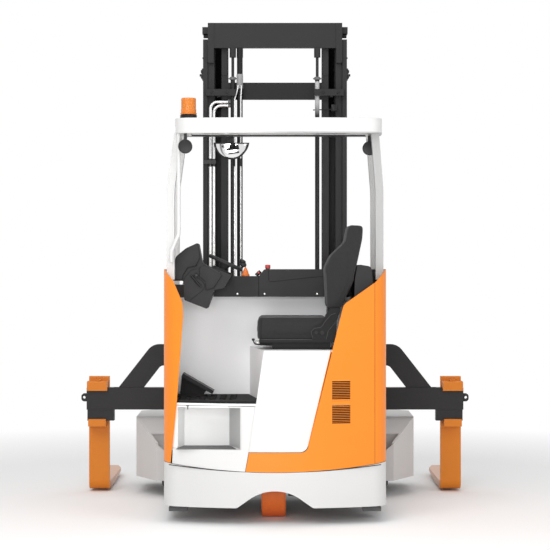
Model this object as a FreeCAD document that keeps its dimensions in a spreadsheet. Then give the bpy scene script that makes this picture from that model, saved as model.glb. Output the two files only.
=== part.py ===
import FreeCAD, Part
import math
import os
import re

import Sketcher

# A four-way reach truck.  Millimetres, +Z up, +Y towards the fork tips, +X to the right of someone
# who looks along +Y.  The origin is on the floor, under the middle of the whole truck.

os.makedirs("parts", exist_ok=True)
doc = FreeCAD.newDocument("four_way_reach_truck")

SIZES = {
    # body in plan
    "body_half": 635,
    "tail": -1302.5,
    "bow_radius": 1640,
    "corner_radius": 115,
    "panel_wall": 12,
    "skirt_wall": 18,
    "seam": 3,
    "plate": 12,
    "running_gap": 5,
    "fit": 0.3,
    # heights of the body
    "skirt_low": 97,
    "skirt_side": 345,
    "skirt_mid": 298,
    "skirt_sweep": 4200,
    "arch_half": 215,
    "arch_apex": 250.5,
    "arch_radius": 247,
    "arch_foot": 30,
    "sill_height": 409,
    "step_height": 424,
    "floor_height": 697,
    "deck_height": 982,
    "wall_height": 1277,
    "rim_height": 1440,
    # lengthwise places
    "cab_front": -662,
    "battery_rear": -640,
    "battery_front": -240,
    "frame_front": -205,
    "rear_plane": -1092.5,
    # wheels
    "drive_radius": 180,
    "drive_width": 140,
    "drive_place": -890,
    "drive_side": -8,
    "load_radius": 155,
    "load_width": 110,
    "load_side": 690,
    "load_place": 560,
    "swing_gap": 11,
    "crown_gap": 4,
    "crown_plate": 22,
    "yoke_room": 90,
    "kingpin_rise": 62,
    "axle_radius": 17,
    # legs
    "rail_inner": 470,
    "rail_outer": 512,
    "rail_web": 12,
    "rail_flange": 20,
    "roller_radius": 55,
    "roller_height": 250,
    "leg_low": 130,
    "leg_outer": 600,
    "housing_outer": 894,
    "housing_low": 108,
    "housing_rear_rise": 89,
    "housing_front_rise": 95,
    "housing_tail_top": 341,
    "housing_hood": 50,
    "housing_tail_low": 250,
    "housing_wall": 10,
    "housing_rear": 220.5,
    "housing_nose": 16,
    "housing_cut": 80,
    "housing_slant_in": 148,
    "housing_slant_back": 284.5,
    "head_plate": 24,
    "kingpin_radius": 32,
    # mast
    "mast_rear": -112.5,
    "mast_depth": 160,
    "mast_flange": 20,
    "mast_web": 14,
    "stage_step": 12,
    "outer_side": 451,
    "outer_lip": 422,
    "middle_side": 420,
    "middle_lip": 380,
    "inner_side": 338,
    "inner_lip": 296,
    "inner_wing": 374.5,
    "mast_low": 130,
    "outer_top": 2880,
    "stage_rise": 20,
    "beam_drop": 56,
    "beam_rise": 101,
    "tie_drop": 357,
    "tie_height": 41,
    "tie_reach": 54,
    "inner_tie_drop": 376,
    "inner_tie_height": 107,
    "cap_drop": 248,
    "cap_height": 68,
    "cap_plate": 8,
    "beam_plate": 32,
    "bracket_in": 245,
    "bracket_out": 430,
    "roller_pin": 22,
    "cylinder_side": 264,
    "cylinder_radius": 14,
    "cylinder_back": 20,
    "cylinder_drop": 240,
    "free_bore": 26,
    "free_length": 1130,
    "rod_radius": 9,
    "rod_foot": 180,
    "rod_head": 20,
    "head_height": 60,
    "pipe_side": 404,
    "pipe_inner": 382,
    "pipe_low": 370,
    "pipe_drop": 393,
    "pipe_bend": 45,
    "pipe_end": 290,
    "clip_low": 600,
    "clip_drop": 780,
    "tube_side": 220,
    "tube_radius": 18,
    "pipe_radius": 9,
    "tube_low": 300,
    # fork carriage
    "fork_face": 257.2,
    "beam_half": 1212,
    "beam_depth": 70,
    "carriage_gap": 42,
    "beam_height": 141,
    "block_drop": 71,
    "block_inner": 1036,
    "block_outer": 1207,
    "brace_foot_out": 1008,
    "brace_foot_in": 845,
    "brace_head_out": 790,
    "brace_head_in": 735,
    "brace_back": 12,
    "brace_low": 142,
    "brace_high": 279,
    "brace_plate": 40,
    "cheek_inner": 262,
    "cheek_outer": 288,
    "cheek_low": 250,
    "eye_half": 1248,
    "eye_place": 1227,
    "eye_rise": 77,
    "eye_hole": 9,
    "eye_plate": 25,
    # forks
    "fork_inner": 1072,
    "fork_outer": 1203,
    "fork_thickness": 45,
    "fork_length": 1000,
    "fork_low": 15,
    "fork_rise": 70,
    "fork_tip": 12,
    "fork_tip_half": 32,
    "heel_radius": 60,
    "hook_rise": 41,
    "hook_reach": 19,
    "hook_plate": 22,
    "toe_drop": 36,
    "toe_reach": 11,
    # overhead guard
    "roof_low": 2216,
    "roof_high": 2304,
    "roof_left": -574,
    "roof_right": 615,
    "roof_rear": -1092.5,
    "roof_front": -440,
    "roof_round": 90,
    "roof_bow": 57,
    "roof_frame": 70,
    "roof_rise": 28,
    "bar_count": 9,
    "bar_width": 22,
    "bar_height": 36,
    "post_width": 45,
    "post_depth": 80,
    "far_post": -560,
    "roof_middle": 20,
    "bar_pitch": 115,
    "post_knee": 1900,
    "post_foot": 600,
    "post_head": 552,
    "post_seat": 1380,
    "grab_side": 552,
    "grab_knee": 1640,
    "lamp_height": 2140,
    "mirror_place": -492,
    "mirror_out": 373,
    "mirror_in": 156,
    "mirror_flat": 2206,
    # seat
    "seat_rear": -1165,
    "seat_front": -770,
    "back_low": 1219,
    "cushion_low": 1038,
    "cushion_high": 1166,
    "cushion_left": -100,
    "cushion_right": 300,
    # steering wheel
    "wheel_x": -289,
    "wheel_y": -880,
    "wheel_z": 1477.5,
    "wheel_tilt": 24.2,
    "wheel_ring": 98,
    "wheel_rim": 11,
    "boss_drop": 38,
    # panel outlines
    "corner_waist": 520,
    "corner_foot": 597,
    "vent_left": 322,
    "vent_right": 424,
    "vent_low": 572,
    "vent_pitch": 136,
    "slot_pitch": 9.6,
    "slot_high": 5,
    "slot_count": 11,
    "door_shoulder": 387,
    "door_foot": 179,
    "door_deck": 313,
    "pedestal_top": 62,
    "pedestal_foot": 147,
    # step
    "step_left": 590,
    "step_right": 187,
    "step_back": -1050,
    "step_slant_left": 519,
    "step_slant_right": 262,
    # floor, pedal, shelf and console
    "wall_near": 62,
    "wall_far": 150,
    "mat_gap": 6,
    "lining": 6,
    "lining_start": 40,
    "mat_thickness": 14,
    "pedal_rear": -930,
    "pedal_width": 130,
    "shelf_depth": 90,
    "shelf_high": 1440,
    "shelf_low_top": 1399,
    "console_half": 92,
    "pedal_left": -545,
    "shelf_left": -364,
    "shelf_step": -63,
    "armrest_left": 445,
    # battery
    "battery_half": 575,
    "battery_high": 960,
    "tray_high": 160,
    "cover_high": 1060,
    "cover_low": 1000,
    # chassis, drive and yokes
    "bay_plate": 16,
    "sill_wall": 14,
    "sill_out": 595,
    "leg_overlap": 20,
    "sill_high": 320,
    "bay_height": 395.5,
    "turntable_radius": 150,
    "foot_inner": 506,
    "foot_outer": 613,
    "foot_low": 43,
    "pad_place": -942.5,
    "cheek_in": 59,
    "cheek_out": 71,
    "axle_hub": 45,
}

sheet = doc.addObject("Spreadsheet::Sheet", "Sizes")
for row, (word, value) in enumerate(SIZES.items(), 1):
    sheet.set(f"A{row}", word)
    sheet.set(f"B{row}", str(value))
    sheet.setAlias(f"B{row}", word)
doc.recompute()

WORD = re.compile(r"[a-z][a-z_]*[a-z]")
nodes = []


def cell(size):
    """Writes a size such as 'roof_high - seam' the way an expression names the sheet's cells."""
    return WORD.sub(lambda word: "Sizes." + word[0] if word[0] in SIZES else word[0], str(size))


def number(size):
    """The value of such a size."""
    return float(sheet.evalExpression(cell(size)))


def node(name, thing):
    """Names a finished piece; its label is the name of its file."""
    thing.Label = name
    nodes.append(thing)
    return thing


# ---- sizes that follow from others ---------------------------------------------------------------

FLOOR_TOP = "(floor_height - mat_thickness)"
RAIL_LOW = "(roller_height - roller_radius - rail_flange - fit)"
RAIL_HIGH = "(roller_height + roller_radius + rail_flange + fit)"
SWING_RADIUS = "(load_radius + swing_gap)"
HOUSING_FRONT = f"(load_place + {SWING_RADIUS} + housing_nose)"
CROWN_LOW = "(2 * load_radius + running_gap + crown_gap)"
LEG_HIGH = "(2 * load_radius + yoke_room)"
HOUSING_REAR_TOP = f"({LEG_HIGH} + housing_rear_rise)"
HOUSING_FRONT_TOP = f"({LEG_HIGH} + housing_front_rise)"
STAGE_TOP = "(outer_top + stage_rise)"
BEAM_LOW = "(outer_top - beam_drop)"
BEAM_TOP = "(outer_top + beam_rise)"
CYLINDER_LINE = "(mast_rear - cylinder_back)"
TIE_REAR = "(mast_rear - tie_reach)"
TIE_FRONT = f"({CYLINDER_LINE} - cylinder_radius - fit)"
INNER_REAR = "(mast_rear + 2 * stage_step)"
CARRIAGE_LOW = f"({HOUSING_FRONT_TOP} + carriage_gap)"
CARRIAGE_HIGH = f"({CARRIAGE_LOW} + beam_height)"
CARRIAGE_REAR = "(fork_face - beam_depth)"
BLOCK_LOW = f"({CARRIAGE_LOW} - block_drop)"
BRACE_TOP = f"({CARRIAGE_HIGH} + brace_high)"

# ---- solids bound to the sheet -------------------------------------------------------------------

TURNS = {
    "x": FreeCAD.Rotation(FreeCAD.Vector(0, 1, 0), 90),
    "y": FreeCAD.Rotation(FreeCAD.Vector(1, 0, 0), -90),
    "z": FreeCAD.Rotation(),
}


def place(thing, x, y, z):
    """Binds a thing's place to three sizes."""
    for axis, size in zip("xyz", (x, y, z)):
        thing.setExpression("Placement.Base." + axis, cell(size))


def block(name, x, y, z):
    """A box between two places along each axis."""
    box = doc.addObject("Part::Box", name)
    for side, (low, high) in zip(("Length", "Width", "Height"), (x, y, z)):
        box.setExpression(side, cell(f"({high}) - ({low})"))
    place(box, x[0], y[0], z[0])
    return box


def rod(name, axis, start, length, radius):
    """A cylinder along one axis from its start point."""
    cylinder = doc.addObject("Part::Cylinder", name)
    cylinder.Placement.Rotation = TURNS[axis]
    cylinder.setExpression("Radius", cell(radius))
    cylinder.setExpression("Height", cell(length))
    place(cylinder, *start)
    return cylinder


def join(name, *pieces):
    """One solid out of pieces that touch, or one node out of pieces that don't."""
    fuse = doc.addObject("Part::MultiFuse", name)
    fuse.Shapes = list(pieces)
    fuse.Refine = True
    return fuse


def cut(name, base, *tools):
    """A piece with others taken out of it."""
    result = doc.addObject("Part::Cut", name)
    result.Base = base
    result.Tool = tools[0] if len(tools) == 1 else join(name + "_tools", *tools)
    result.Refine = True
    return result


def common(name, *pieces):
    """What pieces have in common."""
    result = doc.addObject("Part::MultiCommon", name)
    result.Shapes = list(pieces)
    result.Refine = True
    return result


def mirrored(name, source):
    """The same piece on the other side of the truck."""
    result = doc.addObject("Part::Mirroring", name)
    result.Source = source
    result.Normal = FreeCAD.Vector(1, 0, 0)
    return result


def both_sides(name, make):
    """A piece made for the right side, and its mirror image."""
    right = make(name)
    return [right, mirrored(name + "_mirror", right)]


def rounded(name, base, radius, chosen):
    """A piece with the edges that a rule picks rounded."""
    doc.recompute()
    fillet = doc.addObject("Part::Fillet", name)
    fillet.Base = base
    size = number(radius)
    fillet.Edges = [(i, size, size) for i, edge in enumerate(base.Shape.Edges, 1) if chosen(edge)]
    return fillet


# ---- sketches ------------------------------------------------------------------------------------

def polygon(sketch, corners, closed=True):
    """Draws straight runs between corners (x, y) or (x, y, rounding), each held by the sheet."""
    corners = [(x, y, rest[0] if rest else None) for x, y, *rest in corners]
    points = [FreeCAD.Vector(number(x), number(y), 0) for x, y, _ in corners]
    count = len(points)
    enter, leave, arcs = list(points), list(points), {}
    for i, (_, _, radius) in enumerate(corners):
        if radius is None:
            continue
        before = (points[i - 1] - points[i]).normalize()
        after = (points[(i + 1) % count] - points[i]).normalize()
        half = before.getAngle(after) / 2
        middle = points[i] + (before + after).normalize() * (number(radius) / math.sin(half))
        enter[i] = points[i] + before * (number(radius) / math.tan(half))
        leave[i] = points[i] + after * (number(radius) / math.tan(half))
        left_turn = before.cross(after).z < 0
        first, last = (enter[i], leave[i]) if left_turn else (leave[i], enter[i])
        angles = [math.atan2(p.y - middle.y, p.x - middle.x) for p in (first, last)]
        circle = Part.Circle(middle, FreeCAD.Vector(0, 0, 1), number(radius))
        arcs[i] = (sketch.addGeometry(Part.ArcOfCircle(circle, *angles), False), 1 if left_turn else 2)
    runs = [sketch.addGeometry(Part.LineSegment(leave[i], enter[(i + 1) % count]), False)
            for i in range(count if closed else count - 1)]
    for i, (x, y, radius) in enumerate(corners):
        if radius is None:
            at_start = closed or i < count - 1
            held = (runs[i], 1) if at_start else (runs[-1], 2)
            if closed or 0 < i < count - 1:
                sketch.addConstraint(Sketcher.Constraint("Coincident", runs[i - 1], 2, runs[i], 1))
        else:
            arc, start = arcs[i]
            held = (sketch.addGeometry(Part.Point(points[i]), True), 1)
            sketch.addConstraint([
                Sketcher.Constraint("Tangent", runs[i - 1], 2, arc, start),
                Sketcher.Constraint("Tangent", arc, 3 - start, runs[i], 1),
                Sketcher.Constraint("PointOnObject", held[0], 1, runs[i - 1]),
                Sketcher.Constraint("PointOnObject", held[0], 1, runs[i]),
            ])
            bind(sketch, "Radius", radius, arc)
        bind(sketch, "DistanceX", x, -1, 1, *held)
        bind(sketch, "DistanceY", y, -1, 1, *held)


def bind(sketch, kind, size, *ends):
    """Adds a constraint whose value follows the sheet."""
    index = sketch.addConstraint(Sketcher.Constraint(kind, *ends, number(size)))
    sketch.setExpression(f"Constraints[{index}]", cell(size))


def hole(sketch, x, y, radius):
    """Draws a circle held by the sheet."""
    circle = Part.Circle(FreeCAD.Vector(number(x), number(y), 0), FreeCAD.Vector(0, 0, 1), number(radius))
    ring = sketch.addGeometry(circle, False)
    bind(sketch, "DistanceX", x, -1, 1, ring, 3)
    bind(sketch, "DistanceY", y, -1, 1, ring, 3)
    bind(sketch, "Radius", radius, ring)


def draw(body, plane, offset, outlines, holes=()):
    """A sketch on one of a body's own planes, moved along the plane's normal."""
    sketch = body.newObject("Sketcher::SketchObject", body.Name + "_sketch")
    face = [f for f in body.Origin.OriginFeatures if f.Role == plane + "_Plane"][0]
    sketch.AttachmentSupport = [(face, "")]
    sketch.MapMode = "FlatFace"
    sketch.setExpression("AttachmentOffset.Base.z", cell(offset))
    for corners in outlines:
        polygon(sketch, corners)
    for x, y, radius in holes:
        hole(sketch, x, y, radius)
    return sketch


def prism(name, plane, low, high, *outlines, holes=()):
    """A body padded from an outline on a plane, between two places along the plane's normal."""
    body = doc.addObject("PartDesign::Body", name)
    facing_back = plane == "XZ"
    offset = f"-({low})" if facing_back else low
    pad = body.newObject("PartDesign::Pad", name + "_pad")
    pad.Profile = draw(body, plane, offset, outlines, holes)
    pad.setExpression("Length", cell(f"({high}) - ({low})"))
    pad.Reversed = facing_back
    body.Tip = pad
    return body


def turned(name, axis, centre, *corners):
    """A body turned about an axis through its centre, from (radius, place along the axis) corners."""
    body = doc.addObject("PartDesign::Body", name)
    revolution = body.newObject("PartDesign::Revolution", name + "_turn")
    sketch = draw(body, "XZ", "0", [corners])
    revolution.Profile = sketch
    revolution.ReferenceAxis = (sketch, ["V_Axis"])
    revolution.Angle = 360
    body.Tip = revolution
    body.Placement.Rotation = TURNS[axis]
    place(body, *centre)
    return body


def pipe(name, plane, offset, path, end_plane, end_offset, centre, radius):
    """A bar swept along a path on one plane, from a circle on the plane square to its start."""
    body = doc.addObject("PartDesign::Body", name)
    route = draw(body, plane, offset, [])
    polygon(route, path, closed=False)
    end = draw(body, end_plane, end_offset, [], [(*centre, radius)])
    bar = body.newObject("PartDesign::AdditivePipe", name + "_bar")
    bar.Profile = end
    bar.Spine = (route, [])
    body.Tip = bar
    return body


def around(x, z, *corners):
    """Corners (across, up) or (across, up, rounding) given from a point of their own."""
    return [(f"{x} + {across}", f"{z} + {up}", *rounding) for across, up, *rounding in corners]


# ---- body panels ---------------------------------------------------------------------------------

def tail_form(name, inset, front):
    """The solid inside the bowed tail and the sides, drawn in by an inset, open in height."""
    low, high = "0", "rim_height + 100"
    slab = block(name + "_slab", (f"-body_half + {inset}", f"body_half - ({inset})"),
                 ("tail", front), (low, high))
    drum = rod(name + "_drum", "z", ("0", "tail + bow_radius", low), high, f"bow_radius - ({inset})")
    form = common(name + "_form", slab, drum)
    doc.recompute()
    middle = form.Shape.BoundBox.Center.y

    def at_corner(edge):
        upright = abs(edge.Vertexes[0].X - edge.Vertexes[-1].X) < 1e-6 and edge.Length > 100
        return upright and abs(edge.tangentAt(edge.FirstParameter).z) > 0.99 and edge.CenterOfMass.y < middle

    return rounded(name, form, f"corner_radius - ({inset})", at_corner)


def skin(name, inset, thickness, front):
    """A wall that follows the tail and both sides."""
    outside = tail_form(name + "_outside", inset, front)
    inside = tail_form(name + "_inside", f"{inset} + {thickness}", front)
    return cut(name, outside, inside)


def panel(name, wall, outline, *slots):
    """The part of a wall behind an outline that is drawn as someone behind the truck sees it."""
    window = prism(name + "_window", "XZ", "tail - seam", "frame_front", outline)
    blank = common(name + "_blank", wall, window)
    return cut(name + "_piece", blank, *slots) if slots else blank


skirt_skin = skin("skirt_skin", "0", "skirt_wall", "frame_front")
skirt_zone = prism("skirt_zone", "XZ", "tail - seam", "cab_front + seam", [
    ("-body_half - seam", "0"),
    ("body_half + seam", "0"),
    ("body_half + seam", "skirt_side + seam"),
    ("0", "2 * skirt_mid - skirt_side + seam", "skirt_sweep"),
    ("-body_half - seam", "skirt_side + seam"),
])
panel_skin = cut("panel_skin", skin("panel_sheet", "0", "panel_wall", "cab_front"), skirt_zone)
inner_skin = skin("inner_skin", "4", "panel_wall - 4", "cab_front")

node("rear_skirt", panel("rear_skirt", skirt_skin, [
    ("-body_half", "skirt_side"),
    ("-body_half", "skirt_low"),
    ("-arch_half", "skirt_low", "arch_foot"),
    ("0", "arch_apex", "arch_radius"),
    ("arch_half", "skirt_low", "arch_foot"),
    ("body_half", "skirt_low"),
    ("body_half", "skirt_side"),
    ("0", "2 * skirt_mid - skirt_side", "skirt_sweep"),
]))

SKIRT_EDGE = "skirt_mid - seam"
node("corner_panel_left", panel("corner_panel_left", panel_skin, [
    ("-body_half", SKIRT_EDGE),
    ("-body_half", "rim_height"),
    ("-body_half + 57", "rim_height - 64", "60"),
    ("-corner_waist - 3", "rim_height - 190", "60"),
    ("-corner_waist", "rim_height - 270", "200"),
    ("-corner_waist - 35", "floor_height", "400"),
    ("-corner_foot", SKIRT_EDGE),
]))

vents = [block(f"vent_{half}_{row}", ("vent_left", "vent_right"), ("tail - seam", "rear_plane"),
               (f"vent_low + {half} * vent_pitch + {row} * slot_pitch",
                f"vent_low + {half} * vent_pitch + {row} * slot_pitch + slot_high"))
         for half in range(2) for row in range(int(SIZES["slot_count"]))]
node("side_panel_right", panel("side_panel_right", panel_skin, [
    ("body_half", SKIRT_EDGE),
    ("body_half", "rim_height"),
    ("body_half - 64", "rim_height - 73", "60"),
    ("door_shoulder", "rim_height - 200", "60"),
    ("door_foot", "sill_height", "45"),
    ("-door_foot + 33", "sill_height"),
    ("-door_foot + 12", SKIRT_EDGE),
], *vents))

node("pedestal_panel", panel("pedestal_panel", inner_skin, [
    ("-pedestal_top", "deck_height"),
    ("-pedestal_foot", "sill_height + seam"),
    ("door_foot - 3", "sill_height + seam", "45"),
    ("door_deck", "deck_height"),
]))

# ---- step, floor and cab lining ------------------------------------------------------------------

step_form = common("step_form", tail_form("step_outline", "panel_wall + fit", "cab_front"),
                   block("step_zone", ("-step_left", "-step_right + plate"), ("tail", "step_back"),
                         ("step_height - plate", f"{FLOOR_TOP} - plate - seam")))
step_space = prism("step_space", "XY", "step_height", f"{FLOOR_TOP} - 2 * plate", [
    ("-step_left + plate", "tail - seam"),
    ("-step_right", "tail - seam"),
    ("-step_right", "tail + seam"),
    ("-step_slant_right", "step_back - plate"),
    ("-step_slant_left", "step_back - plate"),
    ("-step_left + plate", "tail + seam"),
])
step_front = panel("step_front", panel_skin, [
    ("-corner_foot + 12", SKIRT_EDGE),
    ("-door_foot + 12 - seam", SKIRT_EDGE),
    ("-door_foot + 33 - seam", "sill_height"),
    ("-pedestal_foot - seam", "sill_height"),
    ("-pedestal_foot - seam + 37", f"{FLOOR_TOP} - plate - seam"),
    ("-step_right", f"{FLOOR_TOP} - plate - seam"),
    ("-step_right", "step_height"),
    ("-corner_foot + 18", "step_height"),
])
step_lip = common("step_lip", tail_form("lip_outline", "panel_wall - 1", "cab_front"),
                  block("lip_zone", ("-corner_foot + 18", "-step_right"), ("tail", "step_back"),
                        ("step_height - plate", "step_height")))
node("step_box", join("step_box_piece", cut("step_hollow", step_form, step_space), step_front, step_lip))


def cab_plate(name, inset, low, high, right):
    """A level plate inside the tail of the cab, out to a side wall that widens forwards."""
    plan = prism(name + "_plan", "XY", low, high, [
        ("-body_half", "tail"),
        (f"-wall_near - {right}", "tail"),
        (f"-wall_far - {right}", "cab_front - plate"),
        ("-body_half", "cab_front - plate"),
    ])
    return common(name, tail_form(name + "_outline", inset, "cab_front - plate - fit"), plan)


floor = common("floor_form", tail_form("floor_outline", "panel_wall + fit", "cab_front - plate"),
               block("floor_zone", ("-body_half", "body_half"), ("tail", "cab_front - plate"),
                     (f"{FLOOR_TOP} - plate", FLOOR_TOP)))
far_wall = block("far_wall", ("-body_half + panel_wall + fit", "body_half - panel_wall - fit"),
                 ("cab_front - plate", "cab_front"), ("bay_height + bay_plate + fit", "wall_height"))
deck_plan = prism("deck_plan", "XY", "deck_height - plate", "deck_height", [
    ("-wall_near", "tail"),
    ("body_half", "tail"),
    ("body_half", "cab_front - plate"),
    ("-wall_far", "cab_front - plate"),
])
deck = common("deck_form", tail_form("deck_outline", "panel_wall + fit", "cab_front - plate"), deck_plan)
side_plan = prism("side_plan", "XY", FLOOR_TOP, "deck_height", [
    ("-wall_near", "tail"),
    ("-wall_near + plate", "tail"),
    ("-wall_far + plate", "cab_front - plate"),
    ("-wall_far", "cab_front - plate"),
])
pedestal_side = common("pedestal_side_form",
                       tail_form("side_outline", "panel_wall + fit", "cab_front - plate"), side_plan)


def lining(name, side, low):
    """A flat sheet on the inside of one side of the body."""
    return common(name + "_form", tail_form(name + "_outline", "panel_wall + fit", "cab_front - plate"),
                  block(name, side, ("rear_plane + lining_start", "cab_front - plate"), (low, "wall_height")))


linings = [lining("lining_left", ("-body_half", "-body_half + panel_wall + lining"), FLOOR_TOP),
           lining("lining_right", ("body_half - panel_wall - lining", "body_half"), "deck_height")]
node("cabin_liner", join("cabin_liner_piece", floor, far_wall, deck, pedestal_side, *linings))

node("floor_mat", cab_plate("floor_mat_piece", "panel_wall + lining + fit", FLOOR_TOP, "floor_height",
                            "mat_gap"))

PEDAL = ("pedal_left", "floor_height")
pedal_plate = prism("pedal_plate", "XZ", "pedal_rear", "pedal_rear + pedal_width", around(
    *PEDAL, ("0", "118"), ("180", "16"), ("190", "34"), ("10", "138")))
PEDAL_ARM = ("pedal_rear + pedal_width / 3", "pedal_rear + pedal_width * 2 / 3")
pedal_arm = prism("pedal_arm", "XZ", *PEDAL_ARM, around(
    *PEDAL, ("-10", "0"), ("115", "0"), ("115", "28", "10"), ("45", "45", "20"), ("35", "105"), ("0", "120")))
node("pedal_unit", join("pedal_unit_piece", pedal_plate, pedal_arm))

# ---- dashboard, console and seat -----------------------------------------------------------------

SHELF = ("cab_front - plate - shelf_depth", "cab_front - plate - fit")
node("console_shelf", prism("console_shelf_piece", "XZ", *SHELF, [
    ("shelf_left", "wall_height"),
    ("body_half - panel_wall - 1", "wall_height"),
    ("body_half - panel_wall - 1", "shelf_high", "15"),
    ("shelf_step", "shelf_high", "20"),
    ("shelf_step - 33", "shelf_low_top", "10"),
    ("shelf_left", "shelf_low_top", "20"),
]))

node("armrest_cover", prism("armrest_cover_piece", "XZ", "seat_rear + 30", f"{SHELF[0]} - fit", around(
    "armrest_left", "deck_height",
    ("0", "0"), ("95", "0"), ("115", "358", "30"),
    ("105", "473", "25"), ("25", "486", "20"), ("10", "398", "30"))))

console_body = prism("console_body", "XZ", "wheel_y - console_half", "wheel_y + console_half", around(
    "wheel_x", "wheel_z",
    ("-155", "116.5", "10"), ("-135", "10.5", "40"), ("-124", "-8.5", "10"), ("-39", "-42.5", "40"),
    ("38", "-71.5", "8"), ("-5", "-146.5", "12"), ("-63", "-158.5", "15"), ("-102", "-269.5", "12"),
    ("-237", "-216.5", "15"), ("-242", "-105.5", "8"), ("-301", "-105.5", "20"), ("-333", "-42.5", "30"),
    ("-280", "39.5", "60"), ("-227", "83.5", "60")))
console_stem = block("console_bracket", ("-body_half + panel_wall + lining + fit", "-530"),
                     ("wheel_y - 60", "wheel_y + 60"), ("1275", "1350"))
column = turned("steering_boss", "z", ("wheel_x", "wheel_y", "wheel_z"),
                ("0", "-95"), ("26", "-95"), ("26", "-boss_drop"), ("0", "-boss_drop"))
column.Placement.Rotation = FreeCAD.Rotation(FreeCAD.Vector(0, 1, 0), number("wheel_tilt"))
node("steering_console", join("steering_console_piece", console_body, console_stem, column))

SHELF_MIDDLE = "cab_front - plate - shelf_depth / 2"
stop_neck = rod("stop_neck", "z", ("shelf_step + 20", SHELF_MIDDLE, "shelf_high"), "6", "11")
stop_button = rod("stop_button", "z", ("shelf_step + 20", SHELF_MIDDLE, "shelf_high + 6"), "18", "16")
stick = turned("stick", "z", ("shelf_step - 112", SHELF_MIDDLE, "shelf_low_top"),
               ("0", "0"), ("9", "0"), ("9", "12"), ("24", "26"), ("20", "52"), ("0", "54"))
node("console_controls", join("console_controls_piece", join("stop_knob", stop_button, stop_neck), stick))

recliner = prism("recliner", "XZ", "seat_rear - 14", "seat_rear - fit", around(
    "cushion_right", "cushion_low",
    ("-90", "-14"), ("45", "-14"), ("52", "112"), ("72", "back_low - cushion_low"),
    ("15", "back_low - cushion_low", "12"), ("-14", "142", "40"), ("-38", "82", "20"), ("-85", "74", "25")))
PAN_LOW = "cushion_low - 14"
node("seat_base", join(
    "seat_base_piece", recliner,
    block("seat_rails", ("-16", "cushion_right + 15"), ("seat_rear + 40", "seat_front - 40"),
          ("deck_height", PAN_LOW)),
    block("seat_slide", ("-86", "-16"), ("seat_rear + 60", "seat_rear + 150"), (f"{PAN_LOW} - 16", PAN_LOW)),
    block("seat_pan", ("cushion_left + 10", "cushion_right + 45"), ("seat_rear - 14", "seat_front - 20"),
          (PAN_LOW, "cushion_low")),
    block("seat_back_arm", ("cushion_right + fit", "cushion_right + 45"),
          ("seat_rear + 90", "seat_front - 90"), ("cushion_low", "back_low"))))

cushion = prism("seat_cushion_piece", "XZ", "seat_rear", "seat_front", [
    ("cushion_left", "cushion_low + fit", "12"),
    ("cushion_right - fit", "cushion_low + fit"),
    ("cushion_right - fit", "cushion_high", "15"),
    ("cushion_left", "cushion_high", "22"),
])
node("seat_cushion", cushion)

backrest = prism("seat_backrest_piece", "XZ", "seat_rear + 10", "seat_front - 10", around(
    "cushion_right", "back_low",
    ("2", "fit", "12"), ("-9", "231", "60"), ("25", "299", "60"), ("100", "373", "60"), ("120", "471", "15"),
    ("195", "467", "15"), ("190", "391", "80"), ("141", "151", "120"), ("73", "fit")))
node("seat_backrest", backrest)

# ---- overhead guard ------------------------------------------------------------------------------

roof_outline = [
    ("roof_left", "roof_front"),
    ("roof_left", "roof_rear - roof_bow / 2", "roof_round"),
    ("roof_middle - 150", "roof_rear - roof_bow", "400"),
    ("roof_middle + 150", "roof_rear - roof_bow", "400"),
    ("roof_right", "roof_rear - roof_bow / 2", "roof_round"),
    ("roof_right", "roof_front"),
]
roof_window = [
    ("roof_left + roof_frame", "roof_front - roof_frame"),
    ("roof_left + roof_frame", "roof_rear + roof_frame"),
    ("roof_right - roof_frame", "roof_rear + roof_frame"),
    ("roof_right - roof_frame", "roof_front - roof_frame"),
]
roof = cut("roof_ring", prism("roof_sheet", "XY", "roof_low", "roof_high", roof_outline, roof_window),
           block("roof_relief", ("roof_left - seam", "roof_right + seam"),
                 ("rear_plane + 200", "roof_front + seam"), ("roof_low - seam", "roof_low + roof_rise")))


def post(name, low_x, high_x, side, low, rear):
    """A guard post that leans in towards the roof, between two X places, seen from behind."""
    knee = "post_knee"
    return prism(name, "XZ", rear, f"{rear} + post_depth", [
        (f"{low_x} - {side} * post_width / 2", low),
        (f"{low_x} + {side} * post_width / 2", low),
        (f"{low_x} + {side} * post_width / 2", knee, "900"),
        (f"{high_x} + {side} * post_width / 2", "roof_low + roof_rise + 10"),
        (f"{high_x} - {side} * post_width / 2", "roof_low + roof_rise + 10"),
        (f"{low_x} - {side} * post_width / 2", knee, "900"),
    ])


node("overhead_guard", join("overhead_guard_piece", roof,
     post("post_rear_left", "-post_foot", "-post_head", "1", "post_seat", "rear_plane + 30"),
     post("post_rear_right", "post_foot", "post_head + 20", "1", "post_seat", "rear_plane + 30"),
     post("post_far_left", "-post_foot", "-post_head", "1", "cover_high", "far_post"),
     post("post_far_right", "post_foot", "post_head + 20", "1", "cover_high", "far_post")))

bars = [block(f"roof_bar_{i}",
              (f"roof_left + roof_frame + fit + ({i} + 0.5) * bar_pitch - bar_width / 2",
               f"roof_left + roof_frame + fit + ({i} + 0.5) * bar_pitch + bar_width / 2"),
              ("roof_rear + roof_frame + fit", "roof_front - roof_frame - fit"),
              ("roof_low + 46", "roof_low + 46 + bar_height"))
        for i in range(int(SIZES["bar_count"]))]
node("roof_bars", join("roof_bars_piece", *bars))

node("grab_handle", pipe("grab_handle_piece", "XZ", "-(rear_plane + 18.7)", [
    ("-grab_side", "roof_low - fit"),
    ("-grab_side", "grab_knee", "60"),
    ("-grab_side - 42", "grab_knee - 100", "60"),
    ("-grab_side - 42", "grab_knee - 160"),
], "XY", "roof_low - fit", ("-grab_side", "rear_plane + 18.7"), "11"))

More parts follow.
